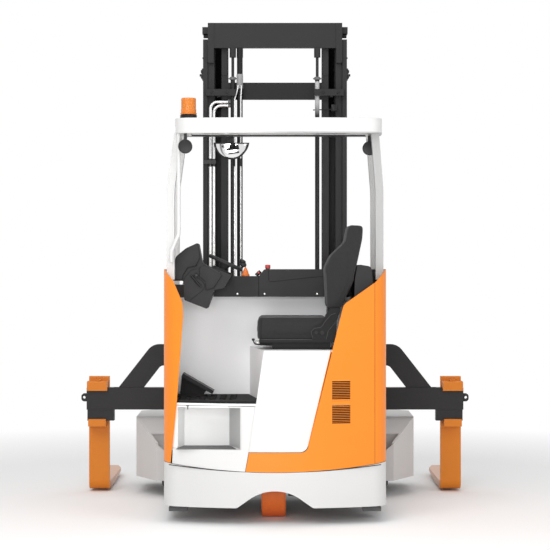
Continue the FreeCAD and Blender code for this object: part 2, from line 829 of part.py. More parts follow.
node("beacon_base", turned("beacon_base_piece", "z", ("-500", "rear_plane + 110", "roof_high"),
     ("0", "0"), ("48", "0"), ("48", "24"), ("43", "29"), ("0", "29")))
node("beacon_lens", turned("beacon_lens_piece", "z", ("-500", "rear_plane + 110", "roof_high + 29 + fit"),
     ("0", "0"), ("43", "0"), ("43", "80"), ("35", "95"), ("0", "95")))


def lamp(name, x, y):
    """A round lamp that hangs under the roof on a small bracket."""
    can = turned(name + "_can", "y", (x, y, "lamp_height"),
                 ("0", "0"), ("40", "0"), ("40", "24"), ("28", "40"), ("0", "40"))
    bracket = block(name + "_bracket", (f"{x} - 9", f"{x} + 9"), (f"{y} + 16", f"{y} + 24"),
                    ("lamp_height + 36", "roof_low"))
    return join(name, can, bracket)


node("work_lamps", join("work_lamps_piece", lamp("lamp_left", "-512", "rear_plane - 36"),
                        lamp("lamp_right", "547", "rear_plane + 122")))

mirror_centre = ("-(mirror_out + mirror_in) / 2", "mirror_place", "mirror_flat + 14")
mirror_disc = rod("mirror_disc", "y", mirror_centre, "24", "(mirror_out - mirror_in) / 2 + 1")
mirror_hanger = block("mirror_hanger", ("-282", "-256"), ("mirror_place + 8", "mirror_place + 16"),
                      ("mirror_flat - 10", "roof_low + roof_rise"))
mirror_shell = common("mirror_shell", mirror_disc, block(
    "mirror_half", ("-mirror_out - 5", "-mirror_in + 5"), ("mirror_place", "mirror_place + 24"),
    ("mirror_flat - 140", "mirror_flat")))
node("cab_mirror", join("cab_mirror_piece", mirror_shell, mirror_hanger))

# ---- battery -------------------------------------------------------------------------------------

node("battery", block("battery_block", ("-battery_half", "battery_half"), ("battery_rear", "battery_front"),
                      ("tray_high + fit", "battery_high")))
node("battery_cover", prism("battery_cover_piece", "YZ", "-body_half", "body_half", [
    ("cab_front + fit", "battery_high + fit"),
    ("frame_front - 8", "battery_high + fit"),
    ("frame_front - 8", "cover_low", "20"),
    ("far_post + post_depth + 30", "cover_high", "60"),
    ("cab_front + fit", "cover_high"),
]))


def battery_door(name):
    """A side door over the battery with its two hinge lugs."""
    leaf = block(name + "_leaf", ("body_half - panel_wall", "body_half"),
                 ("cab_front + seam", "frame_front - seam"), ("skirt_side + seam", "battery_high - seam"))
    lugs = [block(f"{name}_lug_{i}", ("battery_half + fit", "body_half - panel_wall"),
                  ("battery_front - 30", "battery_front - 10"), (low, low + " + 60"))
            for i, low in enumerate(("skirt_side + 60", "battery_high - 140"))]
    return join(name, leaf, *lugs)


node("battery_doors", join("battery_doors_piece", *both_sides("battery_door", battery_door)))

# ---- chassis -------------------------------------------------------------------------------------

def leg(name):
    """A leg: a channel for the mast carriage, a box beside it, and the plate over the load wheel."""
    leg_rear = "frame_front - leg_overlap"
    channel = prism(name + "_channel", "XZ", leg_rear, f"{HOUSING_FRONT} - housing_wall - seam", [
        ("rail_inner", RAIL_LOW),
        ("rail_outer", RAIL_LOW),
        ("rail_outer", RAIL_HIGH),
        ("rail_inner", RAIL_HIGH),
        ("rail_inner", f"{RAIL_HIGH} - rail_flange"),
        ("rail_outer - rail_web", f"{RAIL_HIGH} - rail_flange"),
        ("rail_outer - rail_web", f"{RAIL_LOW} + rail_flange"),
        ("rail_inner", f"{RAIL_LOW} + rail_flange"),
    ])
    swing_rear = f"load_place - {SWING_RADIUS} - running_gap"
    box = block(name + "_box", ("rail_outer", "leg_outer"), (leg_rear, swing_rear), ("leg_low", LEG_HIGH))
    head = block(name + "_head", ("rail_inner + 10", "load_side + 120"),
                 (f"{swing_rear} - 20", "load_place + 120"), (LEG_HIGH, f"{LEG_HIGH} + head_plate"))
    wall = block(name + "_wall", ("rail_outer - rail_web", "rail_outer"), (leg_rear, "load_place + 120"),
                 (RAIL_HIGH, LEG_HIGH))
    centre = ("load_side", "load_place")
    bearing = rod(name + "_bearing", "z", (*centre, f"{LEG_HIGH} - 6"), "72", "62")
    bore = rod(name + "_bore", "z", (*centre, f"{LEG_HIGH} - 20"), "120", "kingpin_radius + fit")
    return cut(name, join(name + "_steel", channel, box, head, wall, bearing), bore)


tray = block("tray", ("-sill_out", "sill_out"), ("cab_front", "frame_front"), ("leg_low", "tray_high"))
sills = [block(f"sill_{i}", pair, ("rear_plane + corner_radius", "frame_front"), ("leg_low", "sill_high"))
         for i, pair in enumerate([("-sill_out", "-sill_out + sill_wall"),
                                   ("sill_out - sill_wall", "sill_out")])]
bulkhead = block("bulkhead", ("-sill_out", "sill_out"), ("cab_front", "cab_front + plate"),
                 ("leg_low", "battery_high"))
bay_deck = common("bay_deck", tail_form("bay_outline", "panel_wall + 4", "cab_front"),
                  block("bay_zone", ("-body_half", "body_half"), ("tail", "cab_front"),
                        ("bay_height", "bay_height + bay_plate")))
bay_hole = rod("bay_hole", "z", ("0", "drive_place", "bay_height - 10"), "60",
               "turntable_radius + running_gap")
outriggers = [item for i, y in enumerate(("rear_plane + 160", "battery_rear", "battery_front - 40"))
              for item in both_sides(f"outrigger_{i}", lambda name, y=y: block(
                  name, ("sill_out - 2", "body_half - skirt_wall - fit"), (y, f"{y} + 40"), ("210", "260")))]
chassis_steel = join("chassis_steel", tray, *sills, bulkhead, *outriggers, *both_sides("leg", leg))
chassis_deck = cut("chassis_deck", bay_deck, bay_hole)
node("chassis_frame", join("chassis_frame_piece", chassis_steel, chassis_deck))


def pad_foot(name):
    """A stabiliser foot under the corner of the chassis."""
    foot = block(name + "_foot", ("foot_inner", "foot_outer"), ("pad_place - 60", "pad_place + 60"),
                 ("foot_low", "foot_low + 22"))
    stem = block(name + "_stem", ("foot_inner + 30", "sill_out - sill_wall - fit"),
                 ("pad_place - 30", "pad_place + 30"), ("foot_low + 22", "bay_height"))
    return join(name, foot, stem)


node("stabilizer_pads", join("stabilizer_pads_piece", *both_sides("pad_foot", pad_foot)))

node("drive_motor", turned("drive_motor_piece", "z", ("0", "drive_place", "bay_height + bay_plate + fit"),
     ("0", "0"), ("turntable_radius + 25", "0"), ("turntable_radius + 25", "16"), ("105", "16"),
     ("105", "215"), ("85", "235"), ("0", "235")))

# ---- drive unit ----------------------------------------------------------------------------------

turntable = turned("turntable", "z", ("0", "drive_place", "bay_height - 14"),
                   ("0", "0"), ("turntable_radius", "0"), ("turntable_radius", "14 + bay_plate"),
                   ("0", "14 + bay_plate"))
gear_case = prism("gear_case", "YZ", "drive_width / 2 + 8", "drive_width / 2 + 70", [
    ("drive_place - 75", "drive_radius - 60", "55"),
    ("drive_place + 75", "drive_radius - 60", "55"),
    ("drive_place + 95", "bay_height - 10"),
    ("drive_place - 95", "bay_height - 10"),
])
hub = rod("gear_hub", "x", ("drive_side - drive_width / 2 + 20", "drive_place", "drive_radius"),
          "drive_width", "axle_hub")
node("drive_gearbox", join("drive_gearbox_piece", turntable, gear_case, hub))
node("drive_wheel", turned(
    "drive_wheel_piece", "x", ("drive_side", "drive_place", "drive_radius"),
    ("axle_hub + fit", "-drive_width / 2 + 20"), ("95", "-drive_width / 2 + 20"),
    ("110", "-drive_width / 2 + 6"), ("drive_radius - 6", "-drive_width / 2"),
    ("drive_radius", "-drive_width / 2 + 8"), ("drive_radius", "drive_width / 2 - 8"),
    ("drive_radius - 6", "drive_width / 2"), ("110", "drive_width / 2 - 6"),
    ("95", "drive_width / 2 - 20"), ("axle_hub + fit", "drive_width / 2 - 20")))

# ---- load wheels ---------------------------------------------------------------------------------

def yoke(name):
    """A swivel yoke: a kingpin, a crown plate and two cheeks that hold the axle."""
    centre = ("load_side", "load_place")
    kingpin = rod(name + "_kingpin", "z", (*centre, CROWN_LOW), f"{LEG_HIGH} + kingpin_rise - {CROWN_LOW}",
                  "kingpin_radius")
    crown = block(name + "_crown", ("load_side - cheek_out", "load_side + cheek_out"),
                  ("load_place - 60", "load_place + 60"), (CROWN_LOW, f"{CROWN_LOW} + crown_plate"))
    collar = rod(name + "_collar", "z", (*centre, f"{CROWN_LOW} + crown_plate"),
                 f"{LEG_HIGH} - 6 - fit - {CROWN_LOW} - crown_plate", "58")
    cheeks = [block(f"{name}_cheek_{i}", pair, ("load_place - 42", "load_place + 42"),
                    ("load_radius - 42", CROWN_LOW)) for i, pair in enumerate([
                        ("load_side - cheek_out", "load_side - cheek_in"),
                        ("load_side + cheek_in", "load_side + cheek_out")])]
    axle = rod(name + "_axle", "x", ("load_side - cheek_out - 4", "load_place", "load_radius"),
               "2 * cheek_out + 8", "axle_radius")
    return join(name, kingpin, crown, collar, *cheeks, axle)


def load_wheel(name):
    """A load wheel: a steel hub with a thick tyre."""
    return turned(name, "x", ("load_side", "load_place", "load_radius"),
                  ("axle_radius + fit", "-load_width / 2 + 10"), ("95", "-load_width / 2 + 10"),
                  ("105", "-load_width / 2"),
                  ("load_radius - 8", "-load_width / 2"), ("load_radius", "-load_width / 2 + 8"),
                  ("load_radius", "load_width / 2 - 8"), ("load_radius - 8", "load_width / 2"),
                  ("105", "load_width / 2"), ("95", "load_width / 2 - 10"),
                  ("axle_radius + fit", "load_width / 2 - 10"))


def housing(name):
    """The cover of a leg end: a hood with a slanted tail, open below and behind the hood."""
    tail = "housing_rear - housing_slant_back"
    step = f"load_place - {SWING_RADIUS} - running_gap + fit"

    def plan(kind, inset, open_side):
        heights = (f"housing_low - {inset}", f"{HOUSING_FRONT_TOP} + {inset}")
        return prism(f"{name}_{kind}_plan", "XY", *heights, [
            (f"rail_outer + fit - {open_side}", f"{HOUSING_FRONT} - {inset}"),
            (f"rail_outer + fit - {open_side}", step),
            (f"leg_outer + fit - {open_side}", step),
            (f"leg_outer + fit - {open_side}", f"{tail} + {inset}"),
            (f"housing_outer - housing_slant_in - {inset}", f"{tail} + {inset}"),
            (f"housing_outer - {inset}", f"housing_rear + {inset} / 2"),
            (f"housing_outer - {inset}", f"{HOUSING_FRONT} - housing_cut - {inset} / 2"),
            (f"housing_outer - housing_cut - {inset} / 2", f"{HOUSING_FRONT} - {inset}"),
        ])

    def side(kind, inset):
        return prism(f"{name}_{kind}_side", "YZ", "rail_outer - 100", "housing_outer", [
            (tail, "housing_low - " + inset),
            (HOUSING_FRONT, "housing_low - " + inset),
            (HOUSING_FRONT, f"{HOUSING_FRONT_TOP} - {inset}"),
            ("housing_rear", f"{HOUSING_REAR_TOP} - {inset}"),
            (tail, f"housing_tail_top - {inset}"),
        ])

    inner_plan = plan("inner", "housing_wall", "100")
    hollow = common(name + "_hollow", inner_plan, side("inner", "housing_wall"))
    behind_hood = common(name + "_behind", inner_plan, block(
        name + "_behind_zone", ("rail_outer - 100", "housing_outer"), (tail, "housing_hood"),
        ("housing_low", HOUSING_REAR_TOP)))
    tail_slope = prism(name + "_slope", "XZ", f"{tail} - seam", f"{tail} + housing_wall", [
        ("leg_outer - seam", "housing_tail_low"),
        ("housing_outer - housing_slant_in - 106", "housing_tail_low"),
        ("housing_outer - housing_slant_in", "housing_tail_top"),
        ("housing_outer - housing_slant_in", HOUSING_REAR_TOP),
        ("leg_outer - seam", HOUSING_REAR_TOP),
    ])
    shell = common(name + "_shell", plan("outer", "0", "0"), side("outer", "0"))
    return cut(name, shell, hollow, behind_hood, tail_slope)


for side, make_side in (("right", lambda name, source: source), ("left", mirrored)):
    node("leg_housing_" + side, make_side("leg_housing_" + side, housing("housing_" + side)))
    node("load_yoke_" + side, make_side("load_yoke_" + side, yoke("yoke_" + side)))
    node("load_wheel_" + side, make_side("load_wheel_" + side, load_wheel("wheel_" + side)))

# ---- steering wheel ------------------------------------------------------------------------------

RIM_SIDES = 10
ring = turned("steering_rim", "z", ("0", "0", "0"), *[
    (f"wheel_ring + {math.cos(turn):.4f} * wheel_rim", f"{math.sin(turn):.4f} * wheel_rim")
    for turn in (2 * math.pi * (i + 0.5) / RIM_SIDES for i in range(RIM_SIDES))])
hub_form = turned("steering_hub", "z", ("0", "0", "0"),
                  ("0", "-boss_drop + 0.5"), ("24", "-boss_drop + 0.5"), ("34", "-8"), ("30", "6"),
                  ("0", "6"))
spokes = block("steering_spoke", ("-wheel_ring", "wheel_ring"), ("-14", "14"), ("-7", "3"))
knob = turned("steering_knob", "z", ("wheel_ring", "0", "0"),
              ("0", "0"), ("8", "0"), ("8", "18"), ("20", "26"), ("20", "38"), ("13", "46"), ("0", "46"))
wheel = join("steering_wheel_piece", ring, hub_form, spokes, knob)
wheel.Placement.Rotation = FreeCAD.Rotation(FreeCAD.Vector(0, 1, 0), number("wheel_tilt"))
place(wheel, "wheel_x", "wheel_y", "wheel_z")
node("steering_wheel", wheel)

# ---- mast ----------------------------------------------------------------------------------------

def stage_rail(name, step, outside, inside, web, low, high):
    """A mast upright for the right side: two flanges and a web, between two X places."""
    rear = f"mast_rear + {step} * stage_step"
    front = rear + " + mast_depth"
    return prism(name, "XY", low, high, [
        (inside, rear),
        (outside, rear),
        (outside, rear + " + mast_flange"),
        (f"{web} + mast_web", rear + " + mast_flange"),
        (f"{web} + mast_web", front + " - mast_flange"),
        (outside, front + " - mast_flange"),
        (outside, front),
        (inside, front),
        (inside, front + " - mast_flange"),
        (web, front + " - mast_flange"),
        (web, rear + " + mast_flange"),
        (inside, rear + " + mast_flange"),
    ])


def channel_rail(name, step, outside, inside, low, high, front_edge):
    """A mast upright for the right side that opens inwards, with a front flange out to an edge."""
    rear = f"mast_rear + {step} * stage_step"
    front = rear + " + mast_depth"
    return prism(name, "XY", low, high, [
        (inside, rear),
        (outside, rear),
        *([] if front_edge == outside else [(outside, front + " - mast_flange"),
                                            (front_edge, front + " - mast_flange")]),
        (front_edge, front),
        (inside, front),
        (inside, front + " - mast_flange"),
        (outside + " - mast_web", front + " - mast_flange"),
        (outside + " - mast_web", rear + " + mast_flange"),
        (inside, rear + " + mast_flange"),
    ])


def roller(name, step, inner, outer, root, height):
    """A mast roller on its pin, that runs between the flanges of the next upright out."""
    centre = f"mast_rear + {step} * stage_step + mast_depth / 2"
    wheel = rod(name + "_wheel", "x", (inner, centre, height), f"{outer} - ({inner})",
                "mast_depth / 2 - mast_flange - fit")
    pin = rod(name + "_pin", "x", (root, centre, height), f"{inner} - ({root})", "roller_pin")
    return join(name, wheel, pin)


def tie_bracket(name):
    """The bracket behind a lift cylinder, and the bolted cap outside the outer upright."""
    heights = ("outer_top - tie_drop", "outer_top - tie_drop + tie_height")
    return join(
        name,
        block(name + "_plate", ("bracket_in", "bracket_out"), (TIE_REAR, TIE_FRONT), heights),
        block(name + "_web", ("bracket_out - plate", "bracket_out"), (TIE_REAR, "mast_rear"), heights),
        block(name + "_cap", ("outer_side", "outer_side + cap_plate"), ("mast_rear + 20", "mast_rear + 110"),
              ("outer_top - cap_drop", "outer_top - cap_drop + cap_height")))


def foot_web(name):
    """Joins the outer mast's low crossbar to an upright."""
    return block(name, ("outer_side - mast_web", "outer_side"), (TIE_REAR, "mast_rear"), FOOT_HEIGHTS)


FOOT_HEIGHTS = ("mast_low", "mast_low + 220")
node("outer_mast", join(
    "outer_mast_piece",
    *both_sides("outer_rail", lambda name: channel_rail(
        name, "0", "outer_side", "outer_lip", "mast_low", "outer_top", "outer_side")),
    block("outer_tie_low", ("-outer_side", "outer_side"), (TIE_REAR, TIE_FRONT), FOOT_HEIGHTS),
    *both_sides("tie_foot", foot_web), *both_sides("tie_bracket", tie_bracket)))


def carriage_side(name):
    """One side of the reach carriage: a plate beside the upright, its tail and two rollers."""
    heights = ("mast_low + 20", "mast_low + 330")
    rear = f"{TIE_REAR} - 30"
    track = "rail_outer - rail_web - 2 - outer_side - plate"
    return join(
        name,
        block(name + "_plate", ("outer_side", "outer_side + plate"), (rear, "mast_rear + 190"), heights),
        block(name + "_tail", ("cheek_outer + 30", "outer_side"), (rear, f"{TIE_REAR} - fit"), heights),
        *[rod(f"{name}_roller_{i}", "x", ("outer_side + plate", y, "roller_height"), track, "roller_radius")
          for i, y in enumerate(("mast_rear - 40", "mast_rear + 130"))])


node("reach_carriage", join(
    "reach_carriage_piece", *both_sides("carriage_side", carriage_side),
    block("carriage_cross", ("-outer_side", "outer_side"), (f"{TIE_REAR} - 30", f"{TIE_REAR} - fit"),
          ("mast_low + 20", "mast_low + 120"))))

BEAM_FACES = ("mast_rear + stage_step - beam_plate", "mast_rear + stage_step")
node("middle_mast", join(
    "middle_mast_piece",
    *both_sides("middle_rail", lambda name: stage_rail(
        name, "1", "middle_side", "middle_lip", "middle_lip + mast_web", "mast_low + 10", STAGE_TOP)),
    *both_sides("middle_roller", lambda name: roller(
        name, "0", "outer_lip + 2", "outer_side - mast_web - 1", "middle_lip + 20", "mast_low + 120")),
    block("middle_beam", ("-middle_side", "middle_side"), BEAM_FACES, (BEAM_LOW, BEAM_TOP)),
    *both_sides("beam_cheek", lambda name: block(
        name, ("middle_lip", "middle_side"), (BEAM_FACES[0], "mast_rear + stage_step + mast_depth"),
        (STAGE_TOP, BEAM_TOP))),
    *both_sides("beam_ear", lambda name: block(
        name, ("middle_side", "outer_side + 6"), ("mast_rear + 40", "mast_rear + 120"),
        (f"{BEAM_TOP} - 60", f"{BEAM_TOP} - 18")))))

INNER_TIE = (f"{INNER_REAR} - 6", f"{INNER_REAR} + 12")
node("inner_mast", join(
    "inner_mast_piece",
    *both_sides("inner_rail", lambda name: channel_rail(
        name, "2", "inner_side", "inner_lip", "mast_low + 20", f"{STAGE_TOP} - 10", "inner_wing")),
    *both_sides("inner_roller", lambda name: roller(
        name, "1", "middle_lip + 2", "middle_lip + 13", "inner_side - 4", "mast_low + 150")),
    block("inner_tie_top", ("-inner_side", "inner_side"), INNER_TIE,
          ("outer_top - inner_tie_drop", "outer_top - inner_tie_drop + inner_tie_height")),
    block("inner_tie_foot", ("-inner_side", "inner_side"), INNER_TIE, ("mast_low + 20", "mast_low + 160"))))


def barrel(name):
    """A lift cylinder's barrel, bored for its rod."""
    centre = ("cylinder_side", CYLINDER_LINE)
    tube = rod(name + "_tube", "z", (*centre, "mast_low"), "outer_top - cylinder_drop - mast_low",
               "cylinder_radius")
    bore = rod(name + "_bore", "z", (*centre, "mast_low + 20"), "outer_top - cylinder_drop",
               "rod_radius + fit")
    shoe = block(name + "_shoe", ("cylinder_side - 20", "cylinder_side + 20"), (TIE_FRONT, "mast_rear - 6"),
                 ("mast_low", "mast_low + 20"))
    return join(name, cut(name + "_body", tube, bore), shoe)


def headed_bar(name, x, y, low, radius):
    """An upright bar with the head that the middle stage's beam rests on."""
    bar = rod(name + "_bar", "z", (x, y, low), f"{BEAM_LOW} - head_height - {low}", radius)
    head = rod(name + "_head", "z", (x, y, f"{BEAM_LOW} - head_height"), "head_height", "rod_head")
    return join(name, bar, head)


def pressure_pipe(name, x, high):
    """A steel pipe that climbs the left upright and turns in to a lift cylinder's port."""
    behind = "(mast_rear - pipe_radius - 2)"
    return pipe(name, "XZ", f"-{behind}", [
        (f"-{x}", "pipe_low"),
        (f"-{x}", high, "pipe_bend"),
        ("-pipe_end", high),
    ], "XY", "pipe_low", (f"-{x}", behind), "pipe_radius")


def pipe_clip(name, low):
    """A clip that holds both pipes to the upright."""
    return block(name, ("-outer_side + 2", "-pipe_inner + 12"), ("mast_rear - 22", "mast_rear - fit"),
                 (low, f"{low} + 24"))


node("lift_cylinders", join("lift_cylinders_piece", *both_sides("barrel", barrel)))
node("lift_rods", join("lift_rods_piece", *both_sides(
    "lift_rod", lambda name: headed_bar(name, "cylinder_side", CYLINDER_LINE, "rod_foot", "rod_radius"))))
node("hose_tube", headed_bar("hose_tube_piece", "-tube_side", "mast_rear - 16", "tube_low", "tube_radius"))
node("pressure_pipes", join(
    "pressure_pipes_piece",
    pressure_pipe("pipe_outer", "pipe_side", "outer_top - pipe_drop"),
    pressure_pipe("pipe_inner", "pipe_inner", "outer_top - pipe_drop - 23"),
    *[pipe_clip(f"pipe_clip_{i}", f"(clip_low + {i} / 2 * (outer_top - clip_drop - clip_low))")
      for i in range(3)]))

FREE_AXIS = ("0", f"{INNER_REAR} + 66")
free_tube = rod("free_tube", "z", (*FREE_AXIS, "mast_low + 60"), "free_length", "free_bore + 19")
free_bore = rod("free_hollow", "z", (*FREE_AXIS, "mast_low + 90"), "free_length + 70", "free_bore + fit")
free_shoe = block("free_shoe", ("-60", "60"), (f"{INNER_REAR} + 12", f"{INNER_REAR} + 112"),
                  ("mast_low + 40", "mast_low + 60"))
node("free_lift_cylinder", join("free_lift_cylinder_piece", cut("free_barrel", free_tube, free_bore),
                                free_shoe))
node("free_lift_rod", join(
    "free_lift_rod_piece",
    rod("free_rod", "z", (*FREE_AXIS, "mast_low + 100"), "free_length - 20", "free_bore"),
    block("free_head", ("-110", "110"), (f"{INNER_REAR} + 36", f"{INNER_REAR} + 96"),
          ("mast_low + free_length + 80", "mast_low + free_length + 140"))))

# ---- fork carriage and forks ---------------------------------------------------------------------

beam = block("carriage_beam", ("-beam_half", "beam_half"), (CARRIAGE_REAR, "fork_face"),
             (CARRIAGE_LOW, CARRIAGE_HIGH))
lower_blocks = both_sides("lower_block", lambda name: block(
    name, ("block_inner", "block_outer"), (CARRIAGE_REAR, "fork_face"), (BLOCK_LOW, CARRIAGE_LOW)))
eyes = both_sides("eye", lambda name: prism(
    name, "XZ", f"{CARRIAGE_REAR} + 20", f"{CARRIAGE_REAR} + 20 + eye_plate", [
        ("beam_half - 10", f"{CARRIAGE_LOW} + eye_rise - 26"),
        ("eye_half", f"{CARRIAGE_LOW} + eye_rise - 26", "20"),
        ("eye_half", f"{CARRIAGE_LOW} + eye_rise + 26", "20"),
        ("beam_half - 10", f"{CARRIAGE_LOW} + eye_rise + 26"),
    ], holes=[("eye_place + 3", f"{CARRIAGE_LOW} + eye_rise", "eye_hole")]))
node("fork_carriage", join("fork_carriage_piece", beam, *lower_blocks, *eyes))

braces = both_sides("brace", lambda name: prism(
    name, "XZ", f"{CARRIAGE_REAR} + brace_back", f"{CARRIAGE_REAR} + brace_back + brace_plate", [
        ("0", f"{CARRIAGE_HIGH} + brace_low"),
        ("brace_head_in", f"{CARRIAGE_HIGH} + brace_low", "40"),
        ("brace_foot_in", f"{CARRIAGE_HIGH} + fit"),
        ("brace_foot_out", f"{CARRIAGE_HIGH} + fit"),
        ("brace_head_out", BRACE_TOP, "90"),
        ("0", BRACE_TOP),
    ]))
node("carriage_brace", join("carriage_brace_piece", *braces))


def side_plate(name):
    """A plate beside the inner mast, with the flange that the beam and the brace are welded to."""
    flange = ("cheek_inner - 20", "cheek_outer + 30")
    return join(
        name,
        block(name + "_web", ("cheek_inner", "cheek_outer"), (f"{INNER_REAR} + 20", CARRIAGE_REAR),
              ("cheek_low", BRACE_TOP)),
        block(name + "_low", flange, (f"{CARRIAGE_REAR} - 20", CARRIAGE_REAR), (CARRIAGE_LOW, BRACE_TOP)),
        block(name + "_high", flange, (CARRIAGE_REAR, f"{CARRIAGE_REAR} + brace_back - fit"),
              (f"{CARRIAGE_HIGH} + fit", BRACE_TOP)))


carriage_rollers = [item for i, height in enumerate(("cheek_low + 65", f"{BRACE_TOP} - 65"))
                    for item in both_sides(f"cheek_roller_{i}", lambda name, height=height: roller(
                        name, "2", "inner_lip + 2", "inner_side - mast_web - 1", "cheek_outer - 4", height))]
node("carriage_side_plates", join("carriage_side_plates_piece", *both_sides("side_plate", side_plate),
                                  *carriage_rollers))


def fork(name):
    """A fork: blade, heel and shank in one bar, with hooks over and under the carriage."""
    front = "fork_face + fit"
    fork_high = f"{CARRIAGE_HIGH} + fork_rise"
    bar = prism(name + "_bar", "YZ", "fork_inner", "fork_outer", [
        (front, "fork_low", "heel_radius"),
        (f"{front} + fork_length * 0.45", "fork_low"),
        (f"{front} + fork_thickness + fork_length", "fork_low + fork_thickness - fork_tip"),
        (f"{front} + fork_thickness + fork_length", "fork_low + fork_thickness"),
        (f"{front} + fork_thickness", "fork_low + fork_thickness", "18"),
        (f"{front} + fork_thickness", fork_high, "12"),
        (front, fork_high, "8"),
    ])
    tips = prism(name + "_plan", "XY", "0", f"{fork_high} + 1", [
        ("fork_inner", "fork_face"),
        ("fork_outer", "fork_face"),
        ("fork_outer", "fork_face + fork_length - 120", "60"),
        ("(fork_inner + fork_outer) / 2 + fork_tip_half", "fork_face + fork_thickness + fork_length + 1"),
        ("(fork_inner + fork_outer) / 2 - fork_tip_half", "fork_face + fork_thickness + fork_length + 1"),
        ("fork_inner", "fork_face + fork_length - 120", "60"),
    ])
    hook = prism(name + "_hook", "YZ", "fork_inner + 6", "fork_outer + 5", [
        (front, f"{CARRIAGE_HIGH} + fit"),
        (front, f"{CARRIAGE_HIGH} + hook_rise"),
        (f"{CARRIAGE_REAR} - hook_plate - fit", f"{CARRIAGE_HIGH} + hook_rise", "8"),
        (f"{CARRIAGE_REAR} - hook_plate - fit", f"{CARRIAGE_HIGH} - hook_reach"),
        (f"{CARRIAGE_REAR} - fit", f"{CARRIAGE_HIGH} - hook_reach"),
        (f"{CARRIAGE_REAR} - fit", f"{CARRIAGE_HIGH} + fit"),
    ])
    toe = prism(name + "_toe", "YZ", "fork_inner + 15", "fork_outer - 3", [
        (front, f"{BLOCK_LOW} - toe_drop"),
        (front, f"{BLOCK_LOW} - fit"),
        (f"{CARRIAGE_REAR} - fit", f"{BLOCK_LOW} - fit"),
        (f"{CARRIAGE_REAR} - fit", f"{BLOCK_LOW} + toe_reach"),
        (f"{CARRIAGE_REAR} - hook_plate - fit", f"{BLOCK_LOW} + toe_reach"),
        (f"{CARRIAGE_REAR} - hook_plate - fit", f"{BLOCK_LOW} - toe_drop"),
    ])
    return join(name, common(name + "_blade", bar, tips), hook, toe)


for side, make_side in (("right", lambda name, source: source), ("left", mirrored)):
    node("fork_" + side, make_side("fork_" + side + "_piece", fork("fork_form_" + side)))

# ---- check and write -----------------------------------------------------------------------------

doc.recompute()
broken = [thing.Name for thing in doc.Objects if {"Invalid", "Error"} & set(thing.State)]
if broken:
    raise RuntimeError("these objects failed: " + ", ".join(broken))
for thing in nodes:
    shape = thing.Shape
    if shape.isNull() or not shape.isValid() or not shape.Solids:
        raise RuntimeError(thing.Label + " has no valid solid")
for thing in nodes:
    thing.Shape.exportStep(f"parts/{thing.Label}.step")
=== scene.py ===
import math

import bmesh
import bpy
from mathutils import Matrix, Vector


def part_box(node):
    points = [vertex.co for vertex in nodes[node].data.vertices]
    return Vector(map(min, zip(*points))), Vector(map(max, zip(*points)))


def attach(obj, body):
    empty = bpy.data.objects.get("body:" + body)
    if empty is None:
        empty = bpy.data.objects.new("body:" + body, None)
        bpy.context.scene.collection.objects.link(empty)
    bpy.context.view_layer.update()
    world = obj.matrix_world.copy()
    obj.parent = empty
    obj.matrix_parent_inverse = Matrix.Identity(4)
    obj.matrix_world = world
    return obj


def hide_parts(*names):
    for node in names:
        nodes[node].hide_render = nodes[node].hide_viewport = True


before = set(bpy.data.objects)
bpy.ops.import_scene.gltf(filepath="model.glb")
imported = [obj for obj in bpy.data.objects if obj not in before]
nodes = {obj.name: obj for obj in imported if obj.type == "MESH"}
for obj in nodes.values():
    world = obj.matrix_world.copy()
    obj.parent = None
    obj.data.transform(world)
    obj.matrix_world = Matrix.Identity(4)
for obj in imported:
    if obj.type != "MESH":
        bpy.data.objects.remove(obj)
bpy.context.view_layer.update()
scene = bpy.context.scene

Y, Z = Vector((0, 1, 0)), Vector((0, 0, 1))
SIDES = (1, -1)


def corners(name):
    """A node's lowest and highest corner."""
    return tuple(Vector(corner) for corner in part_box(name))


def baked(name, shape):
    """Turns a bmesh into a mesh."""
    mesh = bpy.data.meshes.new(name)
    shape.to_mesh(mesh)
    shape.free()
    return mesh


def placed(name, data):
    """Adds an object that holds a mesh, curve, lamp or camera."""
    made = bpy.data.objects.new(name, data)
    scene.collection.objects.link(made)
    return made


# ---- shader maths ----

COAT_ROUGH = 0.12


class Socket:
    """A number or colour in a material, with the usual operators."""

    def __init__(self, paint, link):
        self.paint, self.link = paint, link

    def maths(self, operation, *others, clamp=False):
        return self.paint.node("ShaderNodeMath", {"operation": operation, "use_clamp": clamp},
                               dict(enumerate((self, *others))))

    def __add__(self, other):
        return self.maths("ADD", other)

    def __sub__(self, other):
        return self.maths("SUBTRACT", other)

    def __mul__(self, other):
        return self.maths("MULTIPLY", other)

    def __truediv__(self, other):
        return self.maths("DIVIDE", other)

    def __rsub__(self, other):
        return self.paint.node("ShaderNodeMath", {"operation": "SUBTRACT"}, {0: other, 1: self})

    __radd__, __rmul__ = __add__, __mul__

    def clipped(self):
        return self.maths("ADD", 0.0, clamp=True)

    def above(self, edge, soft):
        """0 below an edge and 1 above it, over a soft width."""
        return ((self - (edge - soft)) * (0.5 / soft)).clipped()

    def within(self, low, high, soft=0.0004):
        """1 where a number lies between two edges."""
        return self.above(low, soft) * (1 - self.above(high, soft))


